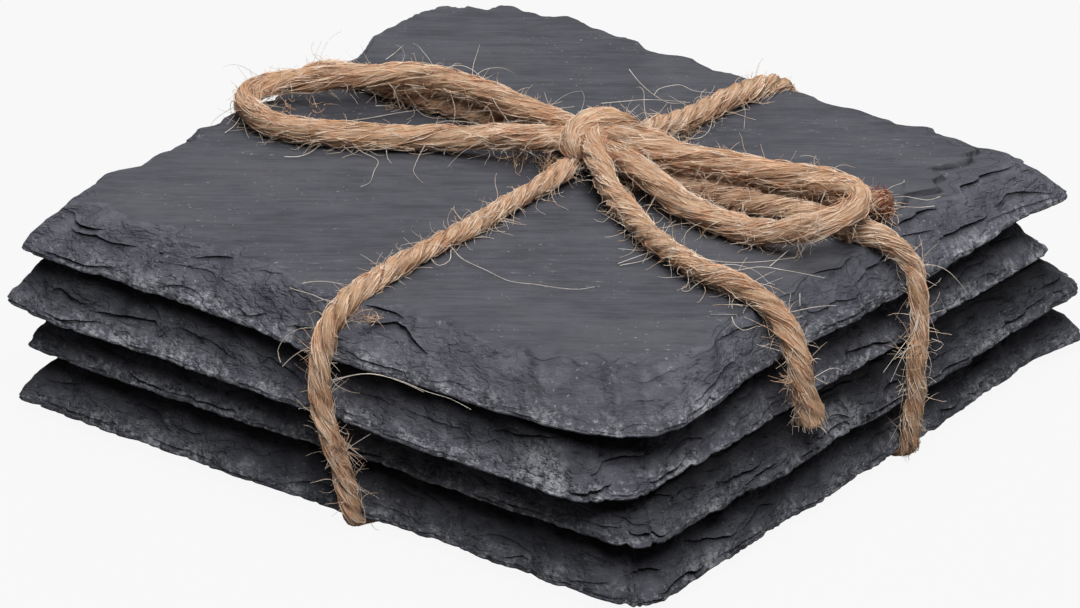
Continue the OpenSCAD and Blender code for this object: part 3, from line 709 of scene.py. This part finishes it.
# Routes of the free ends and loops: left to right, front to back, and above the top face
bowRoutes = {
    "bowLeftLoop": [
        (2.4, 5.6, 3.6), (1, 4.4, 4), (-.5, 2.8, 4.3), (-2.3, 1.6, 4.3), (-4.6, .9, 4),
        (-7.4, .1, 3.6), (-11, -1, 3), (-15.5, -2.6, 2.3), (-19.5, -4.8, 2), (-23.5, -7.2, 2),
        (-27.5, -9.6, 2), (-31.5, -11.4, 2), (-36, -12.6, 2), (-40.5, -12, 2.1),
        (-44.2, -9.8, 2.3), (-45.7, -6.3, 2.6), (-44.2, -3.2, 3), (-41, -1.3, 3.6),
        (-37.5, .4, 4.4), (-33, 2.6, 5), (-28.5, 5, 5.6), (-23.5, 6.4, 5.7), (-18.5, 6.6, 5.7),
        (-13, 6.2, 5.6), (-8, 6, 5.2), (-3.8, 5.8, 4.9), (-.8, 5.7, 4.7), (1.6, 6.4, 4.2)],
    "bowRightLoop": [
        (3.6, 6.6, 4.5), (5, 5.9, 5), (7.6, 5.3, 5.3), (10.8, 5, 5.5), (14.6, 4.9, 5.6),
        (18.6, 5.3, 5.7), (23.5, 6.3, 5.8), (27.5, 7.2, 5.8), (31.5, 8.4, 5.7), (35, 9.6, 5.7),
        (38.5, 10.2, 5.7), (42, 9.2, 5.8), (44.6, 6.2, 5.9), (45.2, 2.8, 5.8), (43.8, 0, 5.2),
        (41, -1.4, 4), (37.5, -1.8, 2.7), (34, -2, 2.1), (30, -2.2, 2), (26, -2, 2.1),
        (22, -1.4, 2.6), (18.5, -.3, 3.2), (15, .9, 3.8), (12.6, 1.8, 4.1), (10.2, 2.7, 4.2),
        (7, 4.2, 4), (5, 5.4, 3.6)],
    "rightTail": [
        (4.2, 9.4, 3.8), (6.4, 10.8, 3.6), (9.8, 11.3, 3.3), (13.4, 10.6, 2.5), (17, 9.9, 2),
        (20.5, 9.7, 2), (24, 10, 2), (27.5, 10.6, 2), (31, 11.4, 2), (34.5, 12.4, 2),
        (37.5, 13.2, 2), (40, 13.9, 2.1), (42.2, 14.5, 2.3), (44.2, 15.1, 2.9)],
    "frontTail": [
        (5.9, 6.4, 4.8), (4.7, 5.2, 5.4), (4.7, 3.2, 5.4), (5.9, 1.3, 4.9), (7.9, -.4, 4.3),
        (10.1, -2.1, 3.6), (12.3, -3.6, 2.8), (14.5, -5, 2.3), (17.5, -6.8, 2), (21, -9.2, 2),
        (25, -11.6, 2), (29, -13.6, 2), (33, -15.2, 2), (37, -16.2, 2), (41, -16.6, 2.1),
        (44.4, -16.9, 1.5), (47.2, -16.8, .3), (49.5, -16.9, -1.7), (51, -17, -3.9),
        (51.9, -17.1, -6), (52.3, -16.8, -8.5), (52.3, -16.1, -11.2), (52.2, -15.3, -14.6)],
}
# Strands of the knot, measured the same way, with how thick each is drawn
knotRoutes = [
    [(5, 13.3, 3, .9), (5.8, 10.8, 4.2, 1), (5.6, 8.6, 5.7, 1), (4.6, 7.1, 6.6, 1.04),
     (3.3, 5.8, 6.8, 1.06), (2.3, 4.3, 6.5, 1.04), (1.9, 2.8, 5.8, 1), (2.2, 1.5, 4.9, .95),
     (3, .9, 3.9, .9), (3.6, 1.6, 2.8, .8)],
    [(9, 6, 4.4, .9), (6.4, 5.4, 4, .95), (3.4, 5.4, 4.2, 1), (.6, 5, 4.2, .95),
     (-2, 4.6, 3.8, .85)],
    [(2.8, .2, 3.1, 1), (3, 3, 3.4, .9), (3.6, 6.5, 3.6, .9), (4.4, 9.8, 3.6, .95),
     (4.8, 13, 3.3, 1)],
    [(7.8, 9.6, 3.6, .9), (6, 8, 4.6, 1), (4.4, 5.6, 5.2, 1), (3.4, 3.2, 4.6, .95),
     (3.4, 1.4, 3.6, .85)],
]


def between(a, b, low, high, t):
    return a * ((high - t) / (high - low)) + b * ((t - low) / (high - low))


def smoothLine(points, step):  # centripetal curve through the points, evenly walked
    points = [Vector(p) for p in points]
    ends = [points[0] * 2 - points[1], *points, points[-1] * 2 - points[-2]]
    line = []
    for i in range(1, len(ends) - 2):
        a, b, c, d = ends[i - 1:i + 3]
        t1, t2, t3 = (max((q.xyz - p.xyz).length, 1e-4) ** 0.5 for p, q in ((a, b), (b, c), (c, d)))
        t2 += t1
        t3 += t2
        count = max(2, round((c.xyz - b.xyz).length / step))
        for k in range(count):
            t = t1 + (t2 - t1) * k / count
            bc = between(b, c, t1, t2, t)
            first = between(between(a, b, 0, t1, t), bc, 0, t2, t)
            second = between(bc, between(c, d, t2, t3, t), t1, t3, t)
            line.append(between(first, second, t1, t2, t))
    line.append(points[-1])
    return line


class Strand:
    # a walked centreline with its sections: centre, heading, the way up, and half sizes
    def __init__(self, centres, ups, halves, twist, seed):
        self.centres, self.halves, self.twist, self.seed = centres, halves, twist, seed
        self.distance = [0.0]
        for a, b in zip(centres, centres[1:]):
            self.distance.append(self.distance[-1] + (b - a).length)
        last = len(centres) - 1
        self.headings = [(centres[min(i + 1, last)] - centres[max(i - 1, 0)]).normalized()
                         for i in range(last + 1)]
        self.ups = []
        up = Vector((0, 0, 1))
        for i, t in enumerate(self.headings):
            up = ups[i] if ups else up
            up = (up - up.dot(t) * t).normalized()
            self.ups.append(up)

    def left(self, i):  # length from there to its end
        return self.distance[-1] - self.distance[i]

    def thin(self, atEnd=True):  # an end that goes into the knot thins inside it
        for i, s in enumerate(self.distance):
            near = min(s, self.left(i)) if atEnd else s
            share = 0.5 + 0.5 * ramp(near, 0, twineSpec["hiddenEnd"])
            self.halves[i] = (self.halves[i][0] * share, self.halves[i][1] * share)

    def surface(self, i, angle, proud=0.0):
        # a point on the twine's skin, with how deep it lies in the groove between the plies
        s, twist, seed = self.distance[i], self.twist, self.seed
        turn = seed - fullTurn * s / twist["lay"]
        turn += twineSpec["wander"] * noise.noise(Vector((s / 8, seed, 3)))
        fold = (1 - abs(math.cos(twist["plies"] / 2 * (angle - turn)))) ** 2.3
        fibre = angle + fullTurn * s / (twist["lay"] * twineSpec["fibreLay"])
        yarn = Vector((math.cos(fibre), math.sin(fibre), 0)) * twineSpec["diameter"] / 2
        yarn.z = s + seed * 40
        deep = 0.75 + 0.9 * noise.noise(Vector((yarn.z / 3, seed, 7)))
        size = twist["fullness"] - twist["groove"] * max(deep, 0) * fold
        for fine, ahead, start in ((2.4, 0.2, 0), (0.8, 0.3, 50)):
            place = Vector((yarn.x * fine, yarn.y * fine, yarn.z * ahead + start))
            size += twineSpec["fluff"] * noise.noise(place)
        size += proud
        halfW, halfT = self.halves[i]
        side = self.ups[i].cross(self.headings[i])
        point = (self.centres[i] + side * (halfW * size * math.cos(angle))
                 + self.ups[i] * (halfT * size * math.sin(angle)))
        point.z = max(point.z, 0.03)
        return point, yarn, fold


def routeStrand(route, twist, seed):
    places = [Vector((p[0], p[1], p[2] + faceHeight, p[3] if len(p) > 3 else 1.0)) for p in route]
    line = smoothLine(places, twineSpec["step"])
    half = twineSpec["diameter"] / 2
    halves = [(half * p.w, half * p.w) for p in line]
    return Strand([p.xyz for p in line], None, halves, twist, seed)


def wrapStrand(stations, twist, seed):
    stations = [(*s, *twineSpec["usual"][len(s) - 3:]) for s in stations]
    centres, ups, halves = [], [], []
    at = 0
    for p in smoothLine([Vector(s[:3]) for s in stations], twineSpec["step"]):
        # the sections follow the nearest stretch between two stations
        while True:
            a, b = stations[at], stations[at + 1]
            start, run = Vector(a[:3]), Vector(b[:3]) - Vector(a[:3])
            t = (p - start).dot(run) / max(run.length_squared, 1e-9)
            if t < 1 or at == len(stations) - 2:
                break
            at += 1
        t = min(max(t, 0), 1)
        ups.append((Vector(a[3:6]) * (1 - t) + Vector(b[3:6]) * t).normalized())
        halves.append((a[6] * (1 - t) + b[6] * t, a[7] * (1 - t) + b[7] * t))
        centres.append(p - ups[-1] * (halves[-1][1] * 0.8 * (1 - twist["fullness"])))
    return Strand(centres, ups, halves, twist, seed)


def frontFlare(left, angle):  # the cut end opens out, more to one side
    return ramp(6 - left, 0, 5.5) * (0.3 + 0.2 * math.cos(angle - 0.4))


def rightFlare(left, angle):  # this one is ragged, and rounded at its tip
    ragged = 0.22 * ramp(4 - left, 0, 3) * (1 + 0.5 * math.sin(3 * angle))
    return ragged - 0.7 * ramp(1 - left, 0, 1)


def addTube(bm, strand, layers, flare=None, stained=0):
    # a flat grid is rolled round the strand, then its seam and ends are closed
    yarnLayer, grooveShadeLayer, stainAndPaintedLightLayer = layers
    around, rows = twineSpec["around"], len(strand.centres) - 1
    made = bmesh.ops.create_grid(bm, x_segments=rows, y_segments=around, size=1)["verts"]
    for v in made:
        i = round((v.co.x + 1) / 2 * rows)
        angle = fullTurn * round((v.co.y + 1) / 2 * around) / around
        left = strand.left(i)
        v.co, yarn, fold = strand.surface(i, angle, flare(left, angle) if flare else 0)
        v[yarnLayer] = yarn * mm
        out = (v.co - strand.centres[i]).normalized()
        # painted shade, in the grooves and where the skin faces down
        v[grooveShadeLayer] = min(fold + 0.55 * ramp(-out.z, 0.1, 0.85), 1)  # darker underneath too
        # above 0 this is the twine's own rust stain; below 0 it is painted light on the front
        # tail's end
        if stained:
            reach = abs(stained)
            v[stainAndPaintedLightLayer] = math.copysign(ramp(reach - left, -0.5 * reach, 0.6 * reach), stained)
    bmesh.ops.remove_doubles(bm, verts=made, dist=1e-4)
    openEdges = {e for v in made if v.is_valid for e in v.link_edges if e.is_boundary}
    bmesh.ops.holes_fill(bm, edges=list(openEdges), sides=0)


def windTwine(name, node, tubes):  # each tube is a strand, its flare and its stain
    bm = bmesh.new()
    layers = (bm.verts.layers.float_vector.new("yarn"),
              *(bm.verts.layers.float.new(k) for k in ("groove", "stainAndPaintedLight")))
    for tube in tubes:
        addTube(bm, tube[0], layers, *tube[1:])
    bmesh.ops.recalc_face_normals(bm, faces=bm.faces)
    bmesh.ops.transform(bm, matrix=Matrix.Scale(mm, 4), verts=bm.verts)
    for f in bm.faces:
        f.smooth = len(f.verts) < 5
    mesh = meshFrom(bm, name)
    mesh.materials.append(jute)
    piece = link(bpy.data.objects.new(name, mesh))
    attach(piece, "root")
    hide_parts(node)
    return piece


jute = makeJute()
bowSpec = {
    "bowLeftLoop": {"node": "bow_left_loop", "twist": "loose", "end": "object", "seed": 1.3,
                    "flare": None, "stained": 0},
    "bowRightLoop": {"node": "bow_right_loop", "twist": "loose", "end": "object", "seed": 2.1,
                     "flare": None, "stained": 0},
    "rightTail": {"node": "right_tail", "twist": "tight", "end": "bare", "seed": 0.4,
                  "flare": rightFlare, "stained": 5.5},  # how far the stain reaches
    "frontTail": {"node": "front_tail", "twist": "tight", "end": "bare", "seed": 3.2,
                  "flare": frontFlare, "stained": -5},  # below 0 it is painted light that makes the end paler
}
strands = {}
for name, spec in bowSpec.items():
    strands[name] = strand = routeStrand(bowRoutes[name], twineSpec[spec["twist"]], spec["seed"])
    strand.thin(spec["end"] == "object")
    piece = windTwine(name, spec["node"], [(strand, spec["flare"], spec["stained"])])
    strand.centres[0] * mm
    [p * mm for p in strand.centres[::3] + [strand.centres[-1]]]
    print("free end", name, round(strand.distance[-1], 1), "mm")

strands["twineWrap"] = wrapStrand(wrapStations, twineSpec["tight"], 0.8)
knot = {"knot%d" % k: routeStrand(route, twineSpec["loose"], 0.7 * k)
        for k, route in enumerate(knotRoutes)}
strands.update(knot)
for strand in (strands["twineWrap"], *knot.values()):
    strand.thin()
windTwine("twineWrap", "twine_wrap", [(strands["twineWrap"],)])
windTwine("twineKnot", "twine_knot", [(strand,) for strand in knot.values()])
print("twine wound and tied")

# Loose fibres: lying on the twine, standing off it, and shed round it
fibreSpec = {
    "lying": {"perMm": 5.4, "thick": 0.13, "points": 6, "reach": (6, 16), "drift": 0.6,
              "lift": (-0.04, 0.06), "arch": (0, 0.16)},
    "standing": {"perMm": 5.6, "thick": 0.085, "length": (0.6, 3.2), "steps": 5, "curl": 0.62,
                 "fall": 0.08},
    "trailing": {"perMm": 2.8, "length": (2, 5.5), "steps": 7, "curl": 0.3, "fall": 0.02},
    "freshBrush": {"count": 150, "length": 1, "steps": 4, "curl": 0.05, "fall": 0},
    "stainedBrush": {"count": 150, "length": 0.6, "steps": 4, "curl": 0.8, "fall": 0},
    "shed": {"count": 120, "thick": 0.11, "length": (4, 9), "steps": 14, "curl": 0.16,
             "fall": 0.11},
    "matted": {"length": (1.2, 3.6), "steps": 7, "curl": 0.75, "fall": 0.05},
    "least": (-57.4, -57.6, 0.05),  # the fibres stay inside this box
    "most": (58.2, 57, 41.5),
    "face": (-0.9, 0, 45.5, 43.5),  # the top face: its middle and half its sides
}
# Long fibres that lie on the top face, as places on it and heights above it
longFibres = [
    [(5.7, -29.2, 1.4), (6.9, -31.1, .8), (6.4, -32.5, .5), (4.7, -31.9, .6), (3.2, -29.7, .9),
     (3.2, -27.8, 1.2), (4.3, -27.7, 1), (7.3, -29, .5), (11.6, -29.5, .2), (16.1, -30.3, .2),
     (19.3, -29.3, .3), (22.4, -28.3, .3), (24.5, -26.9, .2), (25.6, -25.1, .2)],
    [(-9.8, 31, 2.5), (-7.2, 30, 1.5), (-4.2, 29.1, .8), (-1.1, 28.5, .6), (1.5, 29.6, 1)],
    [(-9, 23.4, .2), (-7.3, 25.1, .3), (-4.6, 27.5, .5), (.9, 29.4, 1)],
    [(-4.9, 30.1, .2), (-5.4, 32, .4), (-3.8, 34.4, .6), (-.6, 33.4, .9), (4, 32.6, 2)],
    [(4.1, 22.2, 1), (6.3, 20.8, .4), (8.5, 21.4, .3), (8.8, 23.5, .6), (7.3, 27, 2)],
    [(-43.1, -15.6, .2), (-43.1, -13.5, .6), (-43.7, -10.5, 2), (-43.6, -8.2, 3.6), (-42, -7.6, 4)],
    [(-31.7, -17, .2), (-30.4, -16, .2), (-29.7, -14.2, .3), (-29.7, -11.4, 1), (-29.9, -9.3, 3)],
    [(-27.3, -10.2, 3), (-24.2, -10.3, .8), (-21.3, -10.2, .2), (-19.2, -13.6, .2),
     (-17.4, -16.8, .2), (-17.1, -19.1, .5)],
    [(-32.3, 3.5, .5), (-30.7, 4.8, .6), (-30.3, 6.4, 1), (-32.3, 9.7, 2)],
    [(-32.4, -2.4, .2), (-30.7, .4, .2), (-28.6, 3.1, .5), (-25.6, 5.7, 1)],
    [(-28.5, 20, .2), (-30.8, 23.4, .4), (-32.8, 26.8, .4), (-34.7, 29.9, .2)],
    [(-41.8, 17.8, .2), (-42, 19.8, .3), (-43.1, 23.5, .2)],
    [(23.8, -17.6, .2), (24.6, -15.2, .4), (27, -12.9, 1.5)],
    [(24.3, -17.9, .2), (26, -14.7, .3), (26.8, -12.2, 1)],
    [(37, -10.2, .2), (39.1, -7.6, .4), (41.9, -6.4, .3), (47.3, -5, .2)],
    [(39.7, -6.3, .2), (39.7, -1.8, 1), (40.2, 2.2, 2), (40.5, 5, 4)],
    [(49.6, -16.9, .3), (50.9, -15, .5), (51.6, -12.6, .2), (52.2, -9.6, -.6)],
    [(45.1, -22.5, .6), (46.3, -23.6, .3), (48, -24, .1), (49.2, -22.8, .6)],
    [(47.5, -10.9, .2), (49.2, -13.4, .6), (50.6, -15.4, 1)],
    [(29.5, -9.7, .2), (33.8, -9.1, .2), (37.9, -6, .2), (41.6, -2.3, .6)],
    [(-4.5, -47, .2), (-3.5, -46.4, .5), (-1.5, -46.1, 1), (3.4, -46.7, 2)],
    [(-6, -47.6, -.6), (-4.5, -48.2, -.3), (-1.8, -48.5, 0), (1.9, -49.2, .2), (4.4, -49.6, .8)],
    [(38.3, 26.8, .3), (39.5, 24.7, 1), (40.3, 20.8, 2), (42, 15, 3)],
    [(44.9, 25.4, .2), (44.9, 22.3, .8), (43.5, 19.2, 2), (43, 14.8, 3.2)],
    [(46, 22.4, .2), (45.6, 19.3, 1), (44.3, 15, 2.4)],
    # over the front of the pile beside the front leg, and beside the right leg
    [(4.8, -52.5, -8.6), (6.7, -52.6, -7.6), (10.1, -52.2, -6.3), (14, -51.6, -6.1),
     (19.1, -51.2, -6.6), (22.2, -50.9, -6.7), (25.3, -50.6, -7.4)],
    [(4.8, -52.3, -8.9), (7.7, -52.4, -7.2), (11.1, -52, -6.1), (15, -51.3, -6.4),
     (18.1, -50.9, -7)],
    [(-3.7, -52.5, -8.6), (-4.3, -52.3, -7.2), (-3.3, -51.8, -5.1), (-1.1, -51.4, -3.5),
     (4, -51, -2.5)],
    [(-3.3, -52.6, -9), (-1.5, -52.4, -7), (1.9, -52, -4.6), (4.6, -51.6, -3.6)],
    [(3.8, -53.6, -15), (5.8, -53.8, -17.1), (6.9, -53.4, -21)],
    [(5.6, -53.4, -19.5), (8.6, -53.3, -16.3), (10.7, -52.4, -14.5)],
    [(5.6, -53, -21.6), (8.2, -53.2, -21.8), (10.2, -52.4, -23.2)],
    [(53.4, 8, -7.4), (54, 6, -9.3), (54.2, 2.9, -10.6), (53.8, -.7, -13)],
    [(53.5, 8, -8), (54.3, 5.4, -10), (54.6, 2.2, -12), (54.3, .4, -14.6)],
    [(53.6, 11, -12.6), (54.2, 12.9, -13.9), (54, 11.5, -14.4), (53.8, 10.1, -13.3)],
    [(53.6, 8, -12.3), (54.2, 5, -11.4), (53.9, 1.7, -12)],
]
# Matted tufts: middle, spread and number of fibres
tufts = [
    ((-41.3, -4.4, 30.8), 2.6, 10), ((-37.8, -3.6, 30.4), 2.6, 8), ((20.5, 6.6, 31.4), 3, 60),
    ((27.5, 7.4, 31.6), 3.2, 80), ((33.5, 8.4, 31.6), 2.8, 60), ((-.6, .2, 31), 2.4, 45),
    ((-6, .6, 30.6), 2, 26), ((6.4, 21.8, 30.8), 2, 35), ((12, 2.2, 31), 2.4, 45),
    ((43.6, 14.4, 31.4), 1.4, 14), ((53.8, 7.2, 17), 1.6, 35), ((6.4, -53, 12.6), 1.7, 30),
    ((2.2, -52, 24.6), 1.7, 26), ((51.6, -17.6, 21.4), 1.8, 45), ((7.4, -48.8, 29.4), 1.6, 22),
    ((-30, 5.6, 31.4), 2, 26),
]
draw = random.Random(7)


def anyWay():
    return Vector((draw.gauss(0, 1), draw.gauss(0, 1), draw.gauss(0, 1))).normalized()


def newHair(name, thick):
    curve = bpy.data.curves.new(name, "CURVE")
    curve.dimensions = "3D"
    curve.bevel_depth = thick / 2 * mm
    curve.bevel_resolution = 0
    curve.use_fill_caps = True
    return curve


def addHair(curve, points, share):
    least, most = fibreSpec["least"], fibreSpec["most"]
    if any(not least[k] <= p[k] <= most[k] for p in points for k in range(3)):
        return
    spline = curve.splines.new("POLY")
    spline.points.add(len(points) - 1)
    for i, (made, p) in enumerate(zip(spline.points, points)):
        made.co = (p.x * mm, p.y * mm, p.z * mm, 1)
        made.radius = share * (1 - 0.55 * i / (len(points) - 1))


def finishHair(curve, material):
    curve.materials.append(material)
    piece = link(bpy.data.objects.new(curve.name, curve))
    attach(piece, "root")
    print(curve.name, len(curve.splines), "fibres")


def onTop(p):  # a fibre doesn't go through the top face or the table
    x, y, halfX, halfY = fibreSpec["face"]
    if abs(p.x - x) < halfX and abs(p.y - y) < halfY:
        p.z = max(p.z, faceHeight + 0.03)
    p.z = max(p.z, 0.06)
    return p


def stroll(root, heading, length, spec):  # it wanders off from its root, and falls a little
    points = [root]
    bend = anyWay() * spec["curl"]
    for k in range(spec["steps"]):
        bend = bend * 0.8 + anyWay() * spec["curl"] * 0.45
        heading = (heading + bend + Vector((0, 0, -spec["fall"]))).normalized()
        points.append(onTop(points[-1] + heading * (length / spec["steps"])))
    return points


def seen(strand, i):  # the stretch under the pile needs no loose fibres
    return strand.centres[i].z > 3


def rootAt(strand, i, angle, proud):  # a place on the skin, and the way out of it
    root = strand.surface(i, angle, proud)[0]
    return root, (root - strand.centres[i]).normalized()


def layFibre(strand, spec):
    last, parts = len(strand.centres) - 1, spec["points"] - 1
    i = draw.randrange(last)
    reach = min(draw.randint(*spec["reach"]), last - i)
    turn, drift = draw.uniform(0, fullTurn), draw.gauss(0, spec["drift"])
    lift, arch = draw.uniform(*spec["lift"]), draw.uniform(*spec["arch"])
    if reach < spec["reach"][0] or not seen(strand, i):
        return
    points = []
    for k in range(spec["points"]):
        j = i + round(reach * k / parts)
        past = strand.distance[j] - strand.distance[i]
        angle = turn - fullTurn * past / (strand.twist["lay"] * twineSpec["fibreLay"])
        angle += drift * k / parts
        points.append(strand.surface(j, angle, lift + arch * math.sin(math.pi * k / parts))[0])
    addHair(lying, points, draw.uniform(0.7, 1.2))


def standFibre(strand, spec):
    i = draw.randrange(len(strand.centres))
    root, out = rootAt(strand, i, draw.uniform(0, fullTurn), -0.05)
    ahead = strand.headings[i] * draw.choice((-1, 1))
    heading = out * draw.uniform(0.1, 0.9) + ahead * draw.uniform(0.3, 1.6)
    heading = (heading + anyWay() * 0.4).normalized()
    length = spec["length"][0] + spec["length"][1] * draw.random() ** 1.8
    if seen(strand, i):
        addHair(standing, stroll(root, heading, length, spec), draw.uniform(0.7, 1.2))


def trailFibre(strand, spec):  # longer, and along the twine's sides and underneath
    i = draw.randrange(len(strand.centres))
    root, out = rootAt(strand, i, -math.pi / 2 + draw.gauss(0, 1.0), 0.02)
    ahead = strand.headings[i] * draw.choice((-1, 1))
    heading = (ahead + out * draw.uniform(0, 0.4) + anyWay() * 0.25).normalized()
    if seen(strand, i):
        addHair(trailing, stroll(root, heading, draw.uniform(*spec["length"]), spec),
                draw.uniform(0.7, 1.2))


def openEnd(name, brush, spec):  # a cut end opens like a brush
    strand = strands[name]
    last = len(strand.centres) - 1
    for count in range(spec["count"]):
        i = last - draw.randint(1, 9)
        angle, far = draw.uniform(0, fullTurn), draw.random() ** 0.5
        skin, out = rootAt(strand, i, angle, bowSpec[name]["flare"](strand.left(i), angle))
        root = strand.centres[i] + (skin - strand.centres[i]) * far
        heading = strand.headings[last] * 1.6 + out * 0.35 * far
        heading = (heading + anyWay() * 0.16).normalized()
        length = (strand.left(i) + draw.uniform(-0.1, 0.75)) * spec["length"]
        addHair(brush, stroll(root, heading, length, spec), 1.2)


lying = newHair("twineFibres", fibreSpec["lying"]["thick"])
standing = newHair("twineFuzz", fibreSpec["standing"]["thick"])
trailing = newHair("trailingFibres", fibreSpec["standing"]["thick"])
stained = newHair("stainedFibres", fibreSpec["lying"]["thick"])
for strand in strands.values():
    for kind, make in (("lying", layFibre), ("standing", standFibre), ("trailing", trailFibre)):
        for count in range(round(strand.distance[-1] * fibreSpec[kind]["perMm"])):
            make(strand, fibreSpec[kind])
openEnd("frontTail", standing, fibreSpec["freshBrush"])
openEnd("rightTail", stained, fibreSpec["stainedBrush"])
fibre = makeFibre("juteFibre", "fibreLight", "fibreDark")
finishHair(lying, makeFibre("lyingJute", "pale", "tan"))
finishHair(standing, fibre)
finishHair(stained, makeFibre("stainedJute", "rustLight", "rust"))
finishHair(trailing, fibre)

shed, spec = newHair("shedFibres", fibreSpec["shed"]["thick"]), fibreSpec["shed"]
for route in longFibres:
    addHair(shed, smoothLine([Vector((x, y, z + faceHeight)) for x, y, z in route], 0.7), 1.0)
shedding = [strands[k] for k in ("bowLeftLoop", "bowRightLoop", "frontTail", "knot0", "twineWrap",
                                 "rightTail")]
for count in range(spec["count"]):
    strand = draw.choice(shedding)
    i = draw.randrange(len(strand.centres))
    root, out = rootAt(strand, i, draw.uniform(0, fullTurn), -0.05)
    heading = (out + strand.headings[i] * draw.uniform(-1.2, 1.2)).normalized()
    length = spec["length"][0] + spec["length"][1] * draw.random() ** 1.8
    points = stroll(root, heading, length, spec)
    if seen(strand, i):
        addHair(shed, points, draw.uniform(0.6, 1.0))
finishHair(shed, makeFibre("shedJute", "shedLight", "shedDark"))

matted, spec = newHair("mattedFibres", fibreSpec["standing"]["thick"]), fibreSpec["matted"]
for middle, spread, number in tufts:
    for count in range(number):
        root = onTop(Vector(middle) + anyWay() * spread * draw.random())
        points = stroll(root, anyWay(), draw.uniform(*spec["length"]), spec)
        addHair(matted, points, draw.uniform(0.8, 1.3))
finishHair(matted, makeFibre("mattedJute", "straw", "matted"))

# The studio: pale floor, white background, soft light
studioSpec = {
    "floor": 4.0,  # half its side, in metres
    "floorColour": srgb(128, 128, 128),
    "white": 0.92,  # how far the camera sees plain white instead of the lit floor
    "world": 0.015,
    "aim": (0, 0, 20),  # where the lamps point
}
lamps = [
    {"name": "frontSoftbox", "place": (330, -280, 750), "size": 460, "power": 6.9},
    {"name": "backSoftbox", "place": (-100, 220, 820), "size": 420, "power": 3.2},
]


def whiteWhere(paint):  # 1 for what the camera sees straight, mirrored or through glass
    straight, mirrored, through = (paint.node("LightPath", output=k) for k in (
        "Is Camera Ray", "Is Glossy Ray", "Is Transmission Ray"))
    return (straight + mirrored + through).maths("MINIMUM", 1.0)


def addStudio(spec):
    plain = {"Color": (1, 1, 1, 1), "Strength": 1.0}
    bm = bmesh.new()
    bmesh.ops.create_grid(bm, x_segments=1, y_segments=1, size=spec["floor"])
    mesh = meshFrom(bm, "studioFloor")
    floor = link(bpy.data.objects.new("studioFloor", mesh))
    paint = Paint(bpy.data.materials.new("studioFloor"))
    lit = paint.node("BsdfDiffuse", None, {"Color": (*spec["floorColour"], 1)})
    white = paint.node("Emission", None, plain)
    mesh.materials.append(paint.done(paint.node("MixShader", None, {
        0: whiteWhere(paint) * spec["white"], 1: lit, 2: white})))
    sky = Paint(bpy.data.worlds.new("studioWorld"))
    even = sky.node("Background", None, {"Color": (1, 1, 1, 1), "Strength": spec["world"]})
    white = sky.node("Background", None, plain)
    bpy.context.scene.world = sky.done(
        sky.node("MixShader", None, {0: whiteWhere(sky), 1: even, 2: white}), "World")


def addLamp(spec):
    data = bpy.data.lights.new(spec["name"], "AREA")
    data.shape = "SQUARE"
    data.size = spec["size"] * mm
    data.energy = spec["power"]
    lamp = link(bpy.data.objects.new(spec["name"], data))
    lamp.location = Vector(spec["place"]) * mm
    lamp.rotation_mode = "QUATERNION"
    aim = Vector(spec["place"]) - Vector(studioSpec["aim"])
    lamp.rotation_quaternion = aim.to_track_quat("Z", "Y")


addStudio(studioSpec)
for lamp in lamps:
    addLamp(lamp)
bpy.context.scene.view_settings.view_transform = "Standard"
print("studio lit")
